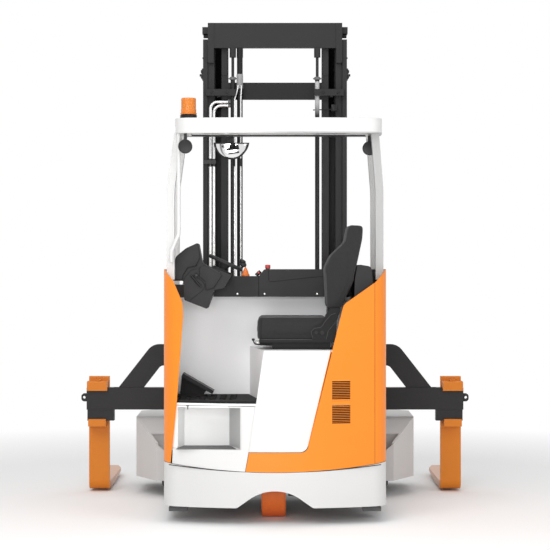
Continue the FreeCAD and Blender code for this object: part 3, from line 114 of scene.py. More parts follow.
class Paint:
    """A material whose nodes are added by one method."""

    def __init__(self, name):
        self.material = bpy.data.materials.new(name)
        self.material.use_nodes = True
        self.tree = self.material.node_tree
        self.shader = self.tree.nodes["Principled BSDF"]
        self.place = self.node("ShaderNodeTexCoord", output="Object")
        self.feed(self.shader.inputs["Coat Roughness"], COAT_ROUGH)

    def node(self, kind, settings=None, inputs=None, output=0):
        """Adds a node: its settings first, then values or links for its sockets."""
        made = self.tree.nodes.new(kind)
        for key, value in (settings or {}).items():
            setattr(made, key, value)
        for key, value in (inputs or {}).items():
            self.feed(made.inputs[key], value)
        return Socket(self, made.outputs[output])

    def feed(self, socket, value):
        if isinstance(value, Socket):
            self.tree.links.new(value.link, socket)
        else:
            socket.default_value = value

    def axis(self, letter):
        return self.node("ShaderNodeSeparateXYZ", None, {0: self.place}, output="xyz".index(letter))

    def upward(self):
        """How far a face looks up: 1 for a level top, -1 for a level underside."""
        normal = self.node("ShaderNodeNewGeometry", output="Normal")
        return self.node("ShaderNodeSeparateXYZ", None, {0: normal}, output="Z")

    def noise(self, scale, detail=3.0, roughness=0.55, stretch=None):
        place = self.place
        if stretch:
            place = self.node("ShaderNodeMapping", None, {"Vector": self.place, "Scale": stretch})
        return self.node("ShaderNodeTexNoise", None, {"Vector": place, "Scale": scale, "Detail": detail,
                                                     "Roughness": roughness})

    def mix(self, factor, first, second):
        """The first colour where a factor is 0, and the second where it is 1."""
        return self.node("ShaderNodeMix", {"data_type": "RGBA"}, {0: factor, 6: first, 7: second}, output=2)

    def mottled(self, colour, share=0.92, scale=3.0, detail=4.0):
        """A colour with soft patches that are darker by a share."""
        return self.mix(self.noise(scale, detail), darkened(colour, share), colour)

    def smudged(self, rough):
        """Roughness that varies a little, from a lowest value up."""
        return self.noise(25.0, 5.0) * 0.08 + rough

    def bump(self, height, distance, strength=1.0):
        return self.node("ShaderNodeBump", None, {"Height": height, "Distance": distance,
                                                  "Strength": strength})

    def peel(self, scale=900.0, depth=0.00004):
        """The orange peel of sprayed paint."""
        return self.bump(self.noise(scale, 2.0), depth)

    def finish(self, **sockets):
        for name, value in sockets.items():
            self.feed(self.shader.inputs[name.replace("_", " ")], value)
        return self.material


def rgb(red, green, blue):
    """A colour as it reads on a screen, 0 to 255, turned linear."""
    return tuple((c / 255 / 12.92 if c <= 10.3 else ((c / 255 + 0.055) / 1.055) ** 2.4)
                 for c in (red, green, blue)) + (1.0,)


def grey(level):
    """An even grey, 0 to 255."""
    return rgb(level, level, level)


def darkened(colour, share):
    """A share of a colour's light."""
    return tuple(c * share for c in colour[:3]) + (1.0,)


# ---- places that the finishes follow ----

SIDE_SEAM, SEAM_HALF = 0.566, 0.0014
BLADE_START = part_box("fork_right")[1].y - 1.0
BLADE_TOP = 0.06
ROOF_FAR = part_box("overhead_guard")[1].y - 0.075
ROOF_FAR_LOW = 2.244
# The side panel's louvres, whose slots carry painted shade.
LOUVRE_ACROSS = (0.3212, 0.4248)
LOUVRE_LOW, LOUVRE_STEP, LOUVRE_HIGH = 0.572, 0.136, 0.1015
SLOT_PITCH = 0.0096
# The slots between the mast's columns and the inner tie, where the mast paint carries painted shade.
CHANNEL_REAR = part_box("outer_mast")[0].y + 0.065
CHANNEL_SIDES = (0.335, 0.376)
CHANNEL_LOW = 2.45
TIE_SIDE = 0.245
TIE_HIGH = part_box("outer_mast")[1].z - 0.265
TIE_LOW = TIE_HIGH - 0.115
# The step's recess, with painted light inside it and painted shade on its right wall.
STEP_WALL = -0.262
STEP_LOW, STEP_HIGH = 0.43, 0.69
STEP_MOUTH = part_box("step_box")[0].y + 0.03
SLEEVE_LOW, SLEEVE_HIGH = 2.44, 2.613
CLAMP_HEIGHTS = (0.6, 1.35, 2.1)
CLAMP_LOW, CLAMP_HIGH = -0.018, 0.032
THREAD = 0.0011
LENS_RIDGE = 0.0085

# ---- finishes ----


def painted(name, colour, rough, grain=900.0, depth=0.00004, coat=0.0, shade=0.92, shine=0.5):
    """Sprayed paint or moulded plastic: a faint orange peel and a little variation of tone."""
    paint = Paint(name)
    return paint.finish(Base_Color=paint.mottled(colour, shade), Roughness=paint.smudged(rough - 0.04),
                        Normal=paint.peel(grain, depth), Specular_IOR_Level=shine, Coat_Weight=coat)


def mast_paint(name, colour):
    """Dark frame paint, with painted shade on the inner tie and deeper painted shade in the slots between the
    columns.
    """
    paint = Paint(name)
    across, height = paint.axis("x").maths("ABSOLUTE"), paint.axis("z")
    # Painted shade: darker on the inner tie, and near black deep in the slots between the columns.
    tie_shade = height.within(TIE_LOW, TIE_HIGH) * (1 - across.above(TIE_SIDE, 0.001))
    channel_shade = (paint.axis("y").above(CHANNEL_REAR, 0.003) * height.above(CHANNEL_LOW, 0.01)
              * across.within(*CHANNEL_SIDES))
    tone = paint.mix(tie_shade, paint.mottled(colour, 0.85), darkened(colour, 0.55))
    return paint.finish(Base_Color=paint.mix(channel_shade, tone, darkened(colour, 0.12)), Specular_IOR_Level=0.2,
                        Roughness=paint.smudged(channel_shade * 0.5 + 0.4), Normal=paint.peel())


def sleeved(name, colour, sleeve):
    """Dark cylinder paint, with a light sleeve that fades out down the right cylinder's head."""
    paint = Paint(name)
    height = paint.axis("z")
    light = (paint.axis("x").above(0.0, 0.01) * height.above(SLEEVE_LOW, 0.04)
             * (1 - height.above(SLEEVE_HIGH, 0.001)))
    return paint.finish(Base_Color=paint.mix(light, colour, sleeve), Roughness=0.34, Specular_IOR_Level=0.25,
                        Normal=paint.peel(depth=0.00003))


def clamped_pipe(name, colour, clamp):
    """Plated pipe, held by dark clamps."""
    paint = Paint(name)
    height = paint.axis("z")
    bands = [height.within(place + CLAMP_LOW, place + CLAMP_HIGH) for place in CLAMP_HEIGHTS]
    clamps = sum(bands[1:], bands[0])
    return paint.finish(Base_Color=paint.mix(clamps, colour, clamp), Metallic=0.6 - clamps * 0.6,
                        Roughness=clamps * 0.2 + 0.2, Normal=paint.peel(700.0, 0.00002))


def sealed_skirt(name, colour):
    """Panel paint whose upward faces carry a dark seal."""
    paint = Paint(name)
    seal = paint.upward().above(0.9, 0.02)
    return paint.finish(Base_Color=paint.mix(seal, paint.mottled(colour, 0.96), grey(14)),
                        Roughness=0.42, Normal=paint.peel(), Coat_Weight=0.15 - seal * 0.15)


def steel(name, colour, rough):
    """Bare steel with fine drawn lines."""
    paint = Paint(name)
    lines = paint.noise(6.0, 3.0, stretch=(4.0, 4.0, 300.0))
    return paint.finish(Base_Color=paint.mix(lines, darkened(colour, 0.8), colour), Metallic=1.0,
                        Roughness=lines * 0.12 + rough, Normal=paint.bump(lines, 0.00003))


def seamed_panel(name, colour):
    """Panel paint with one narrow upright seam, and painted shade on the edges inside the two rows of
    louvres.
    """
    paint = Paint(name)
    across = paint.axis("x")
    groove = across.within(SIDE_SEAM - SEAM_HALF, SIDE_SEAM + SEAM_HALF)
    height = paint.axis("z") - LOUVRE_LOW
    height = height - height.above(LOUVRE_STEP - 0.01, 0.001) * LOUVRE_STEP
    # Painted shade on the slots' inner edges, in the two rows of louvres.
    slot = 1 - (height / SLOT_PITCH + 1.0).maths("FRACT").within(0.62, 0.9, 0.02)
    louvre_shade = slot * across.within(*LOUVRE_ACROSS) * height.within(-0.0008, LOUVRE_HIGH)
    tone = paint.mix(louvre_shade, paint.mottled(colour), rgb(26, 16, 10))
    return paint.finish(Base_Color=paint.mix(groove, tone, darkened(colour, 0.35)), Specular_IOR_Level=0.3,
                        Roughness=paint.smudged(0.36), Coat_Weight=0.08,
                        Normal=paint.bump(paint.noise(900.0, 2.0) * 0.02 - groove, 0.0015))


def woven(name, colour):
    """Upholstery cloth: crossed threads with a little fuzz."""
    paint = Paint(name)
    over = (paint.axis("y") * (math.tau / THREAD)).maths("SINE")
    under = ((paint.axis("z") + paint.axis("x")) * (math.tau / THREAD)).maths("SINE")
    weave = over * under * 0.5 + 0.5
    tone = paint.mix(weave * 0.6 + paint.noise(60.0, 4.0) * 0.4, darkened(colour, 0.55), colour)
    return paint.finish(Base_Color=tone, Roughness=0.9, Normal=paint.bump(weave, 0.0004, 0.6),
                        Sheen_Weight=0.1, Sheen_Roughness=0.6, Specular_IOR_Level=0.2)


def grained(name, colour, rough):
    """Moulded black plastic with a fine leather grain."""
    paint = Paint(name)
    cells = paint.node("ShaderNodeTexVoronoi", None, {"Vector": paint.place, "Scale": 420.0})
    return paint.finish(Base_Color=paint.mottled(colour, 0.85, 8.0), Normal=paint.bump(cells, 0.0002, 0.5),
                        Roughness=paint.noise(30.0, 3.0) * 0.1 + (rough - 0.05), Specular_IOR_Level=0.2)


def tyre_and_hub(name, wheel, edge, tread, hub):
    """A wheel's paint: moulded tread outside a radius and cast iron inside it."""
    paint = Paint(name)
    low, high = corners(wheel)
    centre = (low + high) / 2
    along, up = paint.axis("y") - centre.y, paint.axis("z") - centre.z
    rim = (along * along + up * up).maths("SQRT").above(edge, 0.0008)
    tone = paint.mix(rim, paint.mottled(hub, 0.7, 200.0, 3.0), paint.mottled(tread, 0.75, 40.0, 5.0))
    return paint.finish(Base_Color=tone, Roughness=rim * 0.1 + 0.42,
                        Normal=paint.bump(paint.noise(350.0, 4.0), 0.0001))


def worn_fork(name, colour):
    """Orange paint that the pallets have rubbed thin on top of the blades."""
    paint = Paint(name)
    scratch = paint.noise(5.0, 6.0, 0.7, stretch=(60.0, 1.5, 60.0))
    beyond_heel = paint.axis("y").above(BLADE_START + 0.08, 0.06)
    blade = beyond_heel * (1 - paint.axis("z").above(BLADE_TOP + 0.01, 0.01))
    rubbed = (blade * (scratch * 1.1 + 0.15)).clipped()
    tone = paint.mix(rubbed, paint.mottled(colour, 0.9, 4.0, 3.0), rgb(190, 158, 136))
    return paint.finish(Base_Color=tone, Roughness=0.42 - rubbed * 0.1, Metallic=rubbed * 0.4,
                        Specular_IOR_Level=0.25, Normal=paint.bump(scratch, 0.00012))


def step_paint(name, colour, inside, shaded):
    """Panel paint, with painted light inside the step and painted shade on the step's right wall."""
    paint = Paint(name)
    # Painted light in the step's recess, and painted shade on its right wall.
    recess = paint.axis("z").within(STEP_LOW, STEP_HIGH) * paint.axis("y").above(STEP_MOUTH, 0.002)
    tone = paint.mix(recess, colour, paint.mix(paint.axis("x").above(STEP_WALL, 0.001), inside, shaded))
    return paint.finish(Base_Color=tone, Roughness=paint.smudged(0.38), Normal=paint.peel(), Coat_Weight=0.1)


def ringed_lens(name, colour):
    """A beacon's coloured lens with level ridges."""
    paint = Paint(name)
    ridges = (paint.axis("z") * (math.tau / LENS_RIDGE)).maths("SINE") * 0.5 + 0.5
    return paint.finish(Base_Color=paint.mix(ridges, darkened(colour, 0.85), colour), Roughness=0.16,
                        Normal=paint.bump(ridges, 0.0012), Transmission_Weight=0.25, IOR=1.49)


def roof_paint(name, colour):
    """White guard paint, shaded on the posts, with dark rubber seals along the far rim's lower edge."""
    paint = Paint(name)
    height = paint.axis("z")
    seal = paint.axis("y").above(ROOF_FAR, 0.002) * (
        height.within(ROOF_FAR_LOW - 0.004, ROOF_FAR_LOW + 0.009)
        + height.within(ROOF_FAR_LOW + 0.016, ROOF_FAR_LOW + 0.04))
    post = 1 - height.above(ROOF_FAR_LOW - 0.02, 0.003)
    shaded = paint.mix(paint.axis("x").above(0.0, 0.1), darkened(colour, 0.85), darkened(colour, 0.58))
    tone = paint.mix(post, paint.mottled(colour, 0.95), shaded)
    return paint.finish(Base_Color=paint.mix(seal, tone, grey(8)), Roughness=0.42, Normal=paint.peel(),
                        Coat_Weight=0.15)


ORANGE_TONE = rgb(242, 136, 34)
WHITE_TONE = rgb(220, 220, 219)

ORANGE = painted("orange_panel", ORANGE_TONE, 0.38, coat=0.08, shine=0.3)
ORANGE_SEAMED = seamed_panel("orange_side_panel", ORANGE_TONE)
WHITE = painted("white_panel", WHITE_TONE, 0.42, coat=0.15, shade=0.96)
ROOF_WHITE = roof_paint("white_guard", WHITE_TONE)
HOUSING_WHITE = painted("white_housing", rgb(206, 205, 204), 0.5, shade=0.94)
GREY_LINER = painted("liner", rgb(244, 245, 246), 0.55, shade=0.98)
MAST = mast_paint("mast_paint", rgb(46, 46, 47))
FRAME_GREY = painted("frame_paint", grey(104), 0.5, shade=0.85)
PLASTIC = grained("moulded_black", rgb(46, 46, 47), 0.5)
SMOOTH_BLACK = painted("smooth_black", rgb(30, 30, 31), 0.35, grain=2500.0, depth=0.00003, shine=0.25)
FABRIC = woven("seat_cloth", rgb(50, 50, 51))
RAIL_BLACK = painted("rail_black", grey(18), 0.4, shine=0.15)
# Grey for the seat's piping cord, and for painted highlight lines on the steering pod and recliner.
PIPING_AND_HIGHLIGHT = painted("piping_and_highlight", rgb(84, 84, 85), 0.6)
RUBBER = painted("rubber", grey(32), 0.8, grain=1500.0, depth=0.0001, shine=0.2)
DRIVE_TYRE = tyre_and_hub("drive_tread", "drive_wheel", 0.112, rgb(255, 124, 50), grey(96))
LOAD_TYRE = tyre_and_hub("load_tread", "load_wheel_right", 0.098, rgb(74, 66, 60), grey(110))
FORK = worn_fork("fork_paint", rgb(214, 126, 36))
IRON = painted("iron", grey(92), 0.6, grain=400.0, depth=0.0002)
STEEL = steel("bright_rod", grey(214), 0.14)
SLEEVE = sleeved("cylinder_paint", rgb(30, 30, 31), grey(190))
HOSE_BLACK = painted("hose_black", grey(24), 0.4, shine=0.2)
BRIGHT_PIPE = clamped_pipe("bright_pipe", grey(232), grey(30))
LIGHT_SLEEVE = painted("light_sleeve", grey(156), 0.35, shine=0.2)
SKIRT = sealed_skirt("skirt_paint", rgb(208, 208, 207))
# The step's white, its painted light inside the recess and its painted shade on the right wall.
STEP_WHITE = step_paint("step_paint", rgb(216, 216, 215), rgb(242, 242, 241), grey(172))
COVER_GREY = painted("cover_grey", rgb(196, 194, 192), 0.5)
JOINT = painted("panel_joint", grey(16), 0.7)
# Near-black brown for the sheets behind the louvres: painted shade.
LOUVRE_SHADE_SHEET = painted("louvre_shade_sheet", rgb(34, 22, 14), 0.9, shine=0.1)
ZINC = steel("zinc_bolt", rgb(176, 176, 172), 0.32)
CHROME = steel("mirror_chrome", grey(238), 0.02)
LENS = ringed_lens("beacon_lens_plastic", rgb(252, 146, 40))
RED = painted("stop_red", rgb(186, 38, 34), 0.35, coat=0.3)
KNOB_ORANGE = painted("knob_orange", rgb(232, 120, 40), 0.4)

LOOKS = {
    ORANGE: "corner_panel_left battery_cover battery_doors",
    ORANGE_SEAMED: "side_panel_right",
    FORK: "fork_left fork_right",
    WHITE: "pedestal_panel grab_handle",
    ROOF_WHITE: "overhead_guard",
    HOUSING_WHITE: "leg_housing_left leg_housing_right",
    GREY_LINER: "cabin_liner",
    MAST: "outer_mast middle_mast inner_mast fork_carriage reach_carriage free_lift_cylinder roof_bars "
          "lift_rods carriage_brace carriage_side_plates",
    FRAME_GREY: "chassis_frame battery stabilizer_pads",
    PLASTIC: "console_shelf steering_console armrest_cover steering_wheel",
    SMOOTH_BLACK: "beacon_base work_lamps cab_mirror console_controls",
    FABRIC: "seat_cushion seat_backrest",
    RAIL_BLACK: "seat_base pedal_unit",
    RUBBER: "floor_mat",
    DRIVE_TYRE: "drive_wheel",
    LOAD_TYRE: "load_wheel_left load_wheel_right",
    IRON: "drive_gearbox drive_motor load_yoke_left load_yoke_right",
    STEEL: "free_lift_rod",
    SLEEVE: "lift_cylinders",
    HOSE_BLACK: "hose_tube",
    SKIRT: "rear_skirt",
    STEP_WHITE: "step_box",
    BRIGHT_PIPE: "pressure_pipes",
    LENS: "beacon_lens",
}
for material, names in LOOKS.items():
    for name in names.split():
        nodes[name].data.materials.clear()
        nodes[name].data.materials.append(material)

# ---- mesh tools ----

SMOOTH_ANGLE = math.radians(40)


def finish_piece(name, shape, material, body="root", slot="black_plastic"):
    """Turns a bmesh into a piece that rides on a body."""
    bmesh.ops.recalc_face_normals(shape, faces=shape.faces)
    mesh = baked(name, shape)
    mesh.materials.append(material)
    made = placed(name, mesh)
    mesh.shade_smooth()
    mesh.set_sharp_from_angle(angle=SMOOTH_ANGLE)
    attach(made, body)
    return made


def tube(name, points, radius, material, body="root", order=3, closed=False):
    """A round bar that follows a smooth line through a few points."""
    curve = bpy.data.curves.new(name, "CURVE")
    curve.dimensions = "3D"
    curve.bevel_depth = radius
    curve.bevel_resolution = 3
    curve.resolution_u = 6
    curve.use_fill_caps = True
    line = curve.splines.new("NURBS")
    line.points.add(len(points) - 1)
    for point, place in zip(line.points, points):
        point.co = (*place, 1.0)
    line.use_cyclic_u = closed
    line.use_endpoint_u = not closed
    line.order_u = order
    curve.materials.append(material)
    made = placed(name, curve)
    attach(made, body)


def engraved(name, points, face, material=JOINT, radius=0.0018):
    """A narrow line let into a face that looks back along Y; its points are (X, Z). In the light grey it is a
    painted highlight along a ridge.
    """
    tube(name, [(x, face, z) for x, z in points], radius, material, order=2)


def facing(direction):
    """The turn that takes +Z to a direction."""
    return Vector(direction).to_track_quat("Z", "Y").to_matrix().to_4x4()


def rounded(shape, edges, bevel, segments):
    """Rounds some edges."""
    bmesh.ops.bevel(shape, geom=edges, offset=bevel, segments=segments, profile=0.5, affect="EDGES",
                    material=-1)


def slab(shape, low, high, bevel=0.0, segments=2):
    """Adds a box between two corners, with rounded edges if asked."""
    low, high = Vector(low), Vector(high)
    form = Matrix.Translation((low + high) / 2) @ Matrix.Diagonal((*(high - low), 1.0))
    made = bmesh.ops.create_cube(shape, size=1.0, matrix=form)["verts"]
    if bevel:
        edges = dict.fromkeys(edge for vert in made for edge in vert.link_edges)
        rounded(shape, list(edges), bevel, segments)


def side_slab(shape, side, across, low, high, bevel=0.0):
    """Adds a box on one side, between two distances from the middle and two (Y, Z) corners."""
    first, last = sorted(side * reach for reach in across)
    slab(shape, (first, *low), (last, *high), bevel)


def rod(shape, start, end, radius, end_radius=None, sides=16):
    """Adds a round bar or cone between two points."""
    start, end = Vector(start), Vector(end)
    bmesh.ops.create_cone(
        shape, cap_ends=True, segments=sides, radius1=radius,
        radius2=radius if end_radius is None else end_radius, depth=(end - start).length,
        matrix=Matrix.Translation((start + end) / 2) @ facing(end - start))


def crossbar(shape, first, last, y, z, radius, sides=16):
    """Adds a round bar along X, between two places."""
    rod(shape, (first, y, z), (last, y, z), radius, sides=sides)


def lathe(shape, centre, axis, profile, sides=32):
    """Adds a form turned about an axis, from (radius, height) corners in millimetres."""
    turn = Matrix.Translation(Vector(centre)) @ facing(axis)
    points = [shape.verts.new(turn @ Vector((radius / 1000, 0, height / 1000))) for radius, height in profile]
    edges = [shape.edges.new(pair) for pair in zip(points, points[1:])]
    bmesh.ops.spin(shape, geom=points + edges, cent=Vector(centre), axis=turn.to_3x3() @ Z,
                   angle=math.tau, steps=sides, use_merge=True)
    bmesh.ops.remove_doubles(shape, verts=shape.verts, dist=1e-6)


def turned(name, material, centre, axis, profile, sides=32, **home):
    """A piece that is one turned form."""
    shape = bmesh.new()
    lathe(shape, centre, axis, profile, sides)
    return finish_piece(name, shape, material, **home)


def bolt(shape, place, axis, size=0.008, height=0.005):
    """Adds a hex bolt head on its washer."""
    place, axis = Vector(place), Vector(axis).normalized()
    rod(shape, place, place + axis * height * 0.3, size * 1.35, sides=16)
    rod(shape, place + axis * height * 0.3, place + axis * height, size, size * 0.94, sides=6)


def plate(shape, outline, low, high, bevel=0.0, segments=2, side=1):
    """Adds an outline (X, Z) pushed out between two places along Y; a side of -1 mirrors it."""
    face = shape.faces.new([shape.verts.new((side * x, low, z)) for x, z in outline])
    made = bmesh.ops.extrude_face_region(shape, geom=[face])["geom"]
    tops = [item for item in made if isinstance(item, bmesh.types.BMVert)]
    bmesh.ops.translate(shape, verts=tops, vec=Y * (high - low))
    if bevel:
        rounded(shape, [edge for item in made if isinstance(item, bmesh.types.BMFace) for edge in item.edges],
                bevel, segments)


def cut_away(shape, place, normal):
    """Removes what lies beyond a plane."""
    bmesh.ops.bisect_plane(shape, geom=[*shape.verts, *shape.edges, *shape.faces], plane_co=place,
                           plane_no=normal, clear_outer=True)


# ---- seat ----

PAD_VOXEL = 0.006
PAD_PRESSURE = 4.0
PAD_FRAMES = 20


def apply_modifiers(made):
    """Bakes a piece's modifiers into its mesh."""
    graph = bpy.context.evaluated_depsgraph_get()
    graph.update()
    result = bpy.data.meshes.new_from_object(made.evaluated_get(graph))
    made.modifiers.clear()
    made.data = result


def drawn_in(name, node, inset):
    """A copy of a node's form, drawn in on every side."""
    shape = bmesh.new()
    shape.from_mesh(nodes[node].data)
    bmesh.ops.remove_doubles(shape, verts=shape.verts, dist=1e-5)
    low, high = corners(node)
    middle, span = (low + high) / 2, high - low
    for vert in shape.verts:
        for axis in range(3):
            vert.co[axis] = middle[axis] + (vert.co[axis] - middle[axis]) * (1 - 2 * inset / span[axis])
    return placed(name, baked(name, shape))


def blow_up(made, cap):
    """Swells a form as cloth under pressure; no point moves further than a cap."""
    before = [vert.co.copy() for vert in made.data.vertices]
    cloth = made.modifiers.new("cloth", "CLOTH")
    cloth.settings.use_pressure = True
    cloth.settings.uniform_pressure_force = PAD_PRESSURE
    cloth.settings.effector_weights.gravity = 0.0
    for step in range(1, PAD_FRAMES + 1):
        scene.frame_set(step)
    apply_modifiers(made)
    scene.frame_set(1)
    for vert, start in zip(made.data.vertices, before):
        move = vert.co - start
        if move.length > cap:
            vert.co = start + move.normalized() * cap


def relax(mesh):
    """Smooths the steps that the remesh leaves."""
    shape = bmesh.new()
    shape.from_mesh(mesh)
    for _ in range(2):
        bmesh.ops.smooth_vert(shape, verts=shape.verts, factor=0.5, use_axis_x=True, use_axis_y=True,
                              use_axis_z=True)
    shape.to_mesh(mesh)
    shape.free()


def padded_form(name, node, inset, cap):
    """A stuffed piece: the node's form drawn in, remeshed and blown up a little as cloth."""
    made = drawn_in(name, node, inset)
    remesh = made.modifiers.new("remesh", "REMESH")
    remesh.mode = "VOXEL"
    remesh.voxel_size = PAD_VOXEL
    apply_modifiers(made)
    blow_up(made, cap)
    relax(made.data)
    made.data.materials.clear()
    made.data.materials.append(FABRIC)
    made.data.shade_smooth()
    smooth = made.modifiers.new("smooth", "SUBSURF")
    smooth.levels = smooth.render_levels = 1
    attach(made, "root")
    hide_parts(node)
    return made


def sewn_line(name, pad, outline, side, material=PIPING_AND_HIGHLIGHT, radius=0.0028, closed=True):
    """Cord sewn along a line of a padded piece; the line (X, Z) is laid onto the surface."""
    points = []
    for x, z in outline:
        _, place, normal, _ = pad.closest_point_on_mesh(Vector((x, side, z)))
        points.append(place + normal * 0.001)
    tube(name, points, radius, material, closed=closed)


def rounded_outline(low, high, radius, steps=5):
    """A rectangle's outline (X, Z) with round corners, about the arcs' lowest and highest centres."""
    points = []
    for turn, (x, z) in enumerate(((high.x, high.z), (low.x, high.z), (low.x, low.z), (high.x, low.z))):
        for step in range(steps):
            angle = math.radians(90 * (turn + step / (steps - 1)))
            points.append((x + radius * math.cos(angle), z + radius * math.sin(angle)))
    return points


cushion_low, cushion_high = corners("seat_cushion")
cushion = padded_form("seat_cushion_padded", "seat_cushion", 0.0, 0.004)
padded_form("seat_backrest_padded", "seat_backrest", -0.005, 0.004)
arc_inset = Vector((0.034, 0, 0.034))
cushion_edge = rounded_outline(cushion_low + arc_inset, cushion_high - arc_inset, 0.03)
sewn_line("cushion_piping_near", cushion, cushion_edge, cushion_low.y + 0.012)
sewn_line("cushion_piping_far", cushion, cushion_edge, cushion_high.y - 0.012)

# ---- mast ----

outer_low, outer_high = corners("outer_mast")
middle_low, middle_high = corners("middle_mast")
inner_low, inner_high = corners("inner_mast")
barrel_low, barrel_high = corners("lift_cylinders")
tube_low, tube_high = corners("hose_tube")
MIDDLE_LIP, MIDDLE_SIDE, EAR_SIDE = 0.38, 0.4205, 0.451
INNER_LIP, INNER_SIDE, INNER_WING = 0.3, 0.338, 0.3745
MIDDLE_REAR = middle_low.y + 0.032
INNER_REAR = inner_low.y + 0.006
TIE_REAR = MIDDLE_REAR - 0.045
BEAM_LOW = middle_high.z - 0.157
CAP_LOW = outer_high.z - 0.248
CYLINDER_X = barrel_high.x - 0.02
CYLINDER_Y = barrel_low.y + 0.014
TUBE_X, TUBE_Y, _ = (tube_low + tube_high) / 2


def middle_stage_trim():
    """Side plates on the top beam's ends, their joints with it, and the rollers under its ears."""
    top, rear = middle_high.z, middle_low.y
    shape, joints = bmesh.new(), bmesh.new()
    for side in SIDES:
        plate(shape, [(MIDDLE_LIP, top), (MIDDLE_SIDE, top), (MIDDLE_SIDE, BEAM_LOW - 0.086),
                      (0.412, BEAM_LOW - 0.093), (0.384, BEAM_LOW - 0.093)],
              rear - 0.0015, MIDDLE_REAR, side=side)
        side_slab(joints, side, (MIDDLE_LIP - 0.003, MIDDLE_LIP), (rear - 0.001, BEAM_LOW),
                  (rear + 0.001, top - 0.001))
        crossbar(shape, side * MIDDLE_SIDE, side * EAR_SIDE, -0.035, BEAM_LOW + 0.0865, 0.0135)
        slab(shape, (side * MIDDLE_SIDE - 0.001, -0.062, BEAM_LOW + 0.085),
             (side * MIDDLE_SIDE + 0.006, -0.008, BEAM_LOW + 0.102))
    finish_piece("middle_stage_trim", shape, MAST, "middle_stage", "mast_dark")
    finish_piece("beam_joints", joints, JOINT, "middle_stage", "mast_dark")


def inner_stage_trim():
    """Gussets at the head of the inner uprights and the wear strips on their wings."""
    top = inner_high.z
    shape = bmesh.new()
    for side in SIDES:
        plate(shape, [(INNER_LIP, top - 0.02), (INNER_SIDE, top - 0.02), (INNER_SIDE, top - 0.223),
                      (0.331, top - 0.233), (INNER_LIP, top - 0.233)],
              INNER_REAR - 0.006, INNER_REAR, side=side)
        side_slab(shape, side, (INNER_WING, INNER_WING + 0.0195), (inner_high.y - 0.01, inner_low.z + 0.05),
                  (inner_high.y, top - 0.03), 0.002)
    finish_piece("inner_stage_trim", shape, MAST, "inner_stage", "mast_dark")


def outer_mast_trim():
    """Bolts and pins on the outer uprights."""
    shape = bmesh.new()
    for side in SIDES:
        edge, out = side * (outer_high.x - 0.0005), (side, 0, 0)
        for y in (-0.07, -0.022):
            for height in (0.02, 0.052):
                bolt(shape, (edge, y, CAP_LOW + height), out, 0.009, 0.008)
        crossbar(shape, edge, edge + side * 0.016, -0.046, CAP_LOW + 0.03, 0.008)
        bolt(shape, (side * EAR_SIDE, -0.05, outer_high.z - 0.11), out, 0.006, 0.006)
        for x in (0.3, 0.395):
            bolt(shape, (side * x, outer_low.y, outer_high.z - 0.337), -Y, 0.008, 0.006)
        bolt(shape, (side * 0.351, outer_low.y + 0.012, outer_high.z - 0.357), -Z, 0.012, 0.009)
    finish_piece("outer_mast_trim", shape, SMOOTH_BLACK, "mast_base", "mast_dark")


def cylinder_heads():
    """The gland nut on each lift cylinder, with its two studs."""
    top = barrel_high.z
    shape = bmesh.new()
    for side in SIDES:
        x = side * CYLINDER_X
        lathe(shape, (x, CYLINDER_Y, top - 0.016), Z,
              [(14.2, 0), (19, 1), (19, 15), (16.5, 18), (9.8, 18)], 24)
        for way in SIDES:
            crossbar(shape, x + way * 0.015, x + way * 0.026, CYLINDER_Y, top - 0.008, 0.0045, 8)
    finish_piece("cylinder_heads", shape, FRAME_GREY, "mast_base", "mast_dark")


def hose_lines():
    """The sleeve on the hose tube and two lines that come out of it and run down the mast."""
    top = tube_high.z
    turned("hose_sleeve", LIGHT_SLEEVE, (TUBE_X, TUBE_Y, top - 0.254), Z,
           [(18.2, 0), (20.5, 3), (20.5, 87), (18.2, 90)], 24, body="middle_stage", slot="bright_steel")
    y = TUBE_Y - 0.0246
    for label, x, shift in (("left", TUBE_X - 0.012, -0.02), ("right", TUBE_X + 0.01, -0.004)):
        line = [(x, top - 0.235), (x, top - 0.262), (x + shift, top - 0.318), (x + shift, top - 0.345),
                (x + shift, top - 0.8), (x + shift, tube_low.z + 0.1)]
        tube("hose_line_" + label, [(across, y, z) for across, z in line], 0.0045, BRIGHT_PIPE,
             "middle_stage")


def pipe_fittings():
    """Hex unions where the pressure pipes end and where they start to climb."""
    low, high = corners("pressure_pipes")
    y = low.y + 0.011
    shape = bmesh.new()
    for drop in (0.009, 0.032):
        crossbar(shape, high.x - 0.004, high.x + 0.012, y, high.z - drop, 0.012, 6)
    for x in (low.x + 0.045, low.x + 0.067):
        rod(shape, (x, y, high.z - 0.17), (x, y, high.z - 0.145), 0.0125, sides=6)
    finish_piece("pipe_fittings", shape, FRAME_GREY, "mast_base", "mast_dark")


def limit_switch():
    """A switch on the right upright with its feeler rod across the cylinder."""
    shape = bmesh.new()
    height, y = outer_high.z - 0.44, TIE_REAR + 0.012
    slab(shape, (0.352, TIE_REAR, height - 0.013), (0.386, TIE_REAR + 0.026, height + 0.03), 0.003)
    rod(shape, (0.372, y, height), (0.238, y, height - 0.004), 0.0035, sides=8)
    crossbar(shape, 0.368, 0.352, y, height, 0.009, 12)
    finish_piece("limit_switch", shape, SMOOTH_BLACK, "mast_base", "mast_dark")


middle_stage_trim()
inner_stage_trim()
outer_mast_trim()
cylinder_heads()
hose_lines()
pipe_fittings()
limit_switch()

# ---- cab ----

POD_X, POD_Z, POD_FACE = -0.289, 1.4775, -0.972
WHEEL_Y, WHEEL_TILT = -0.88, math.radians(24.2)
WHEEL_AXIS = Vector((math.sin(WHEEL_TILT), 0, math.cos(WHEEL_TILT)))
SHELF_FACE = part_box("console_shelf")[0].y
SEAT_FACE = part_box("seat_base")[0].y
STEP_FLOOR = 0.424


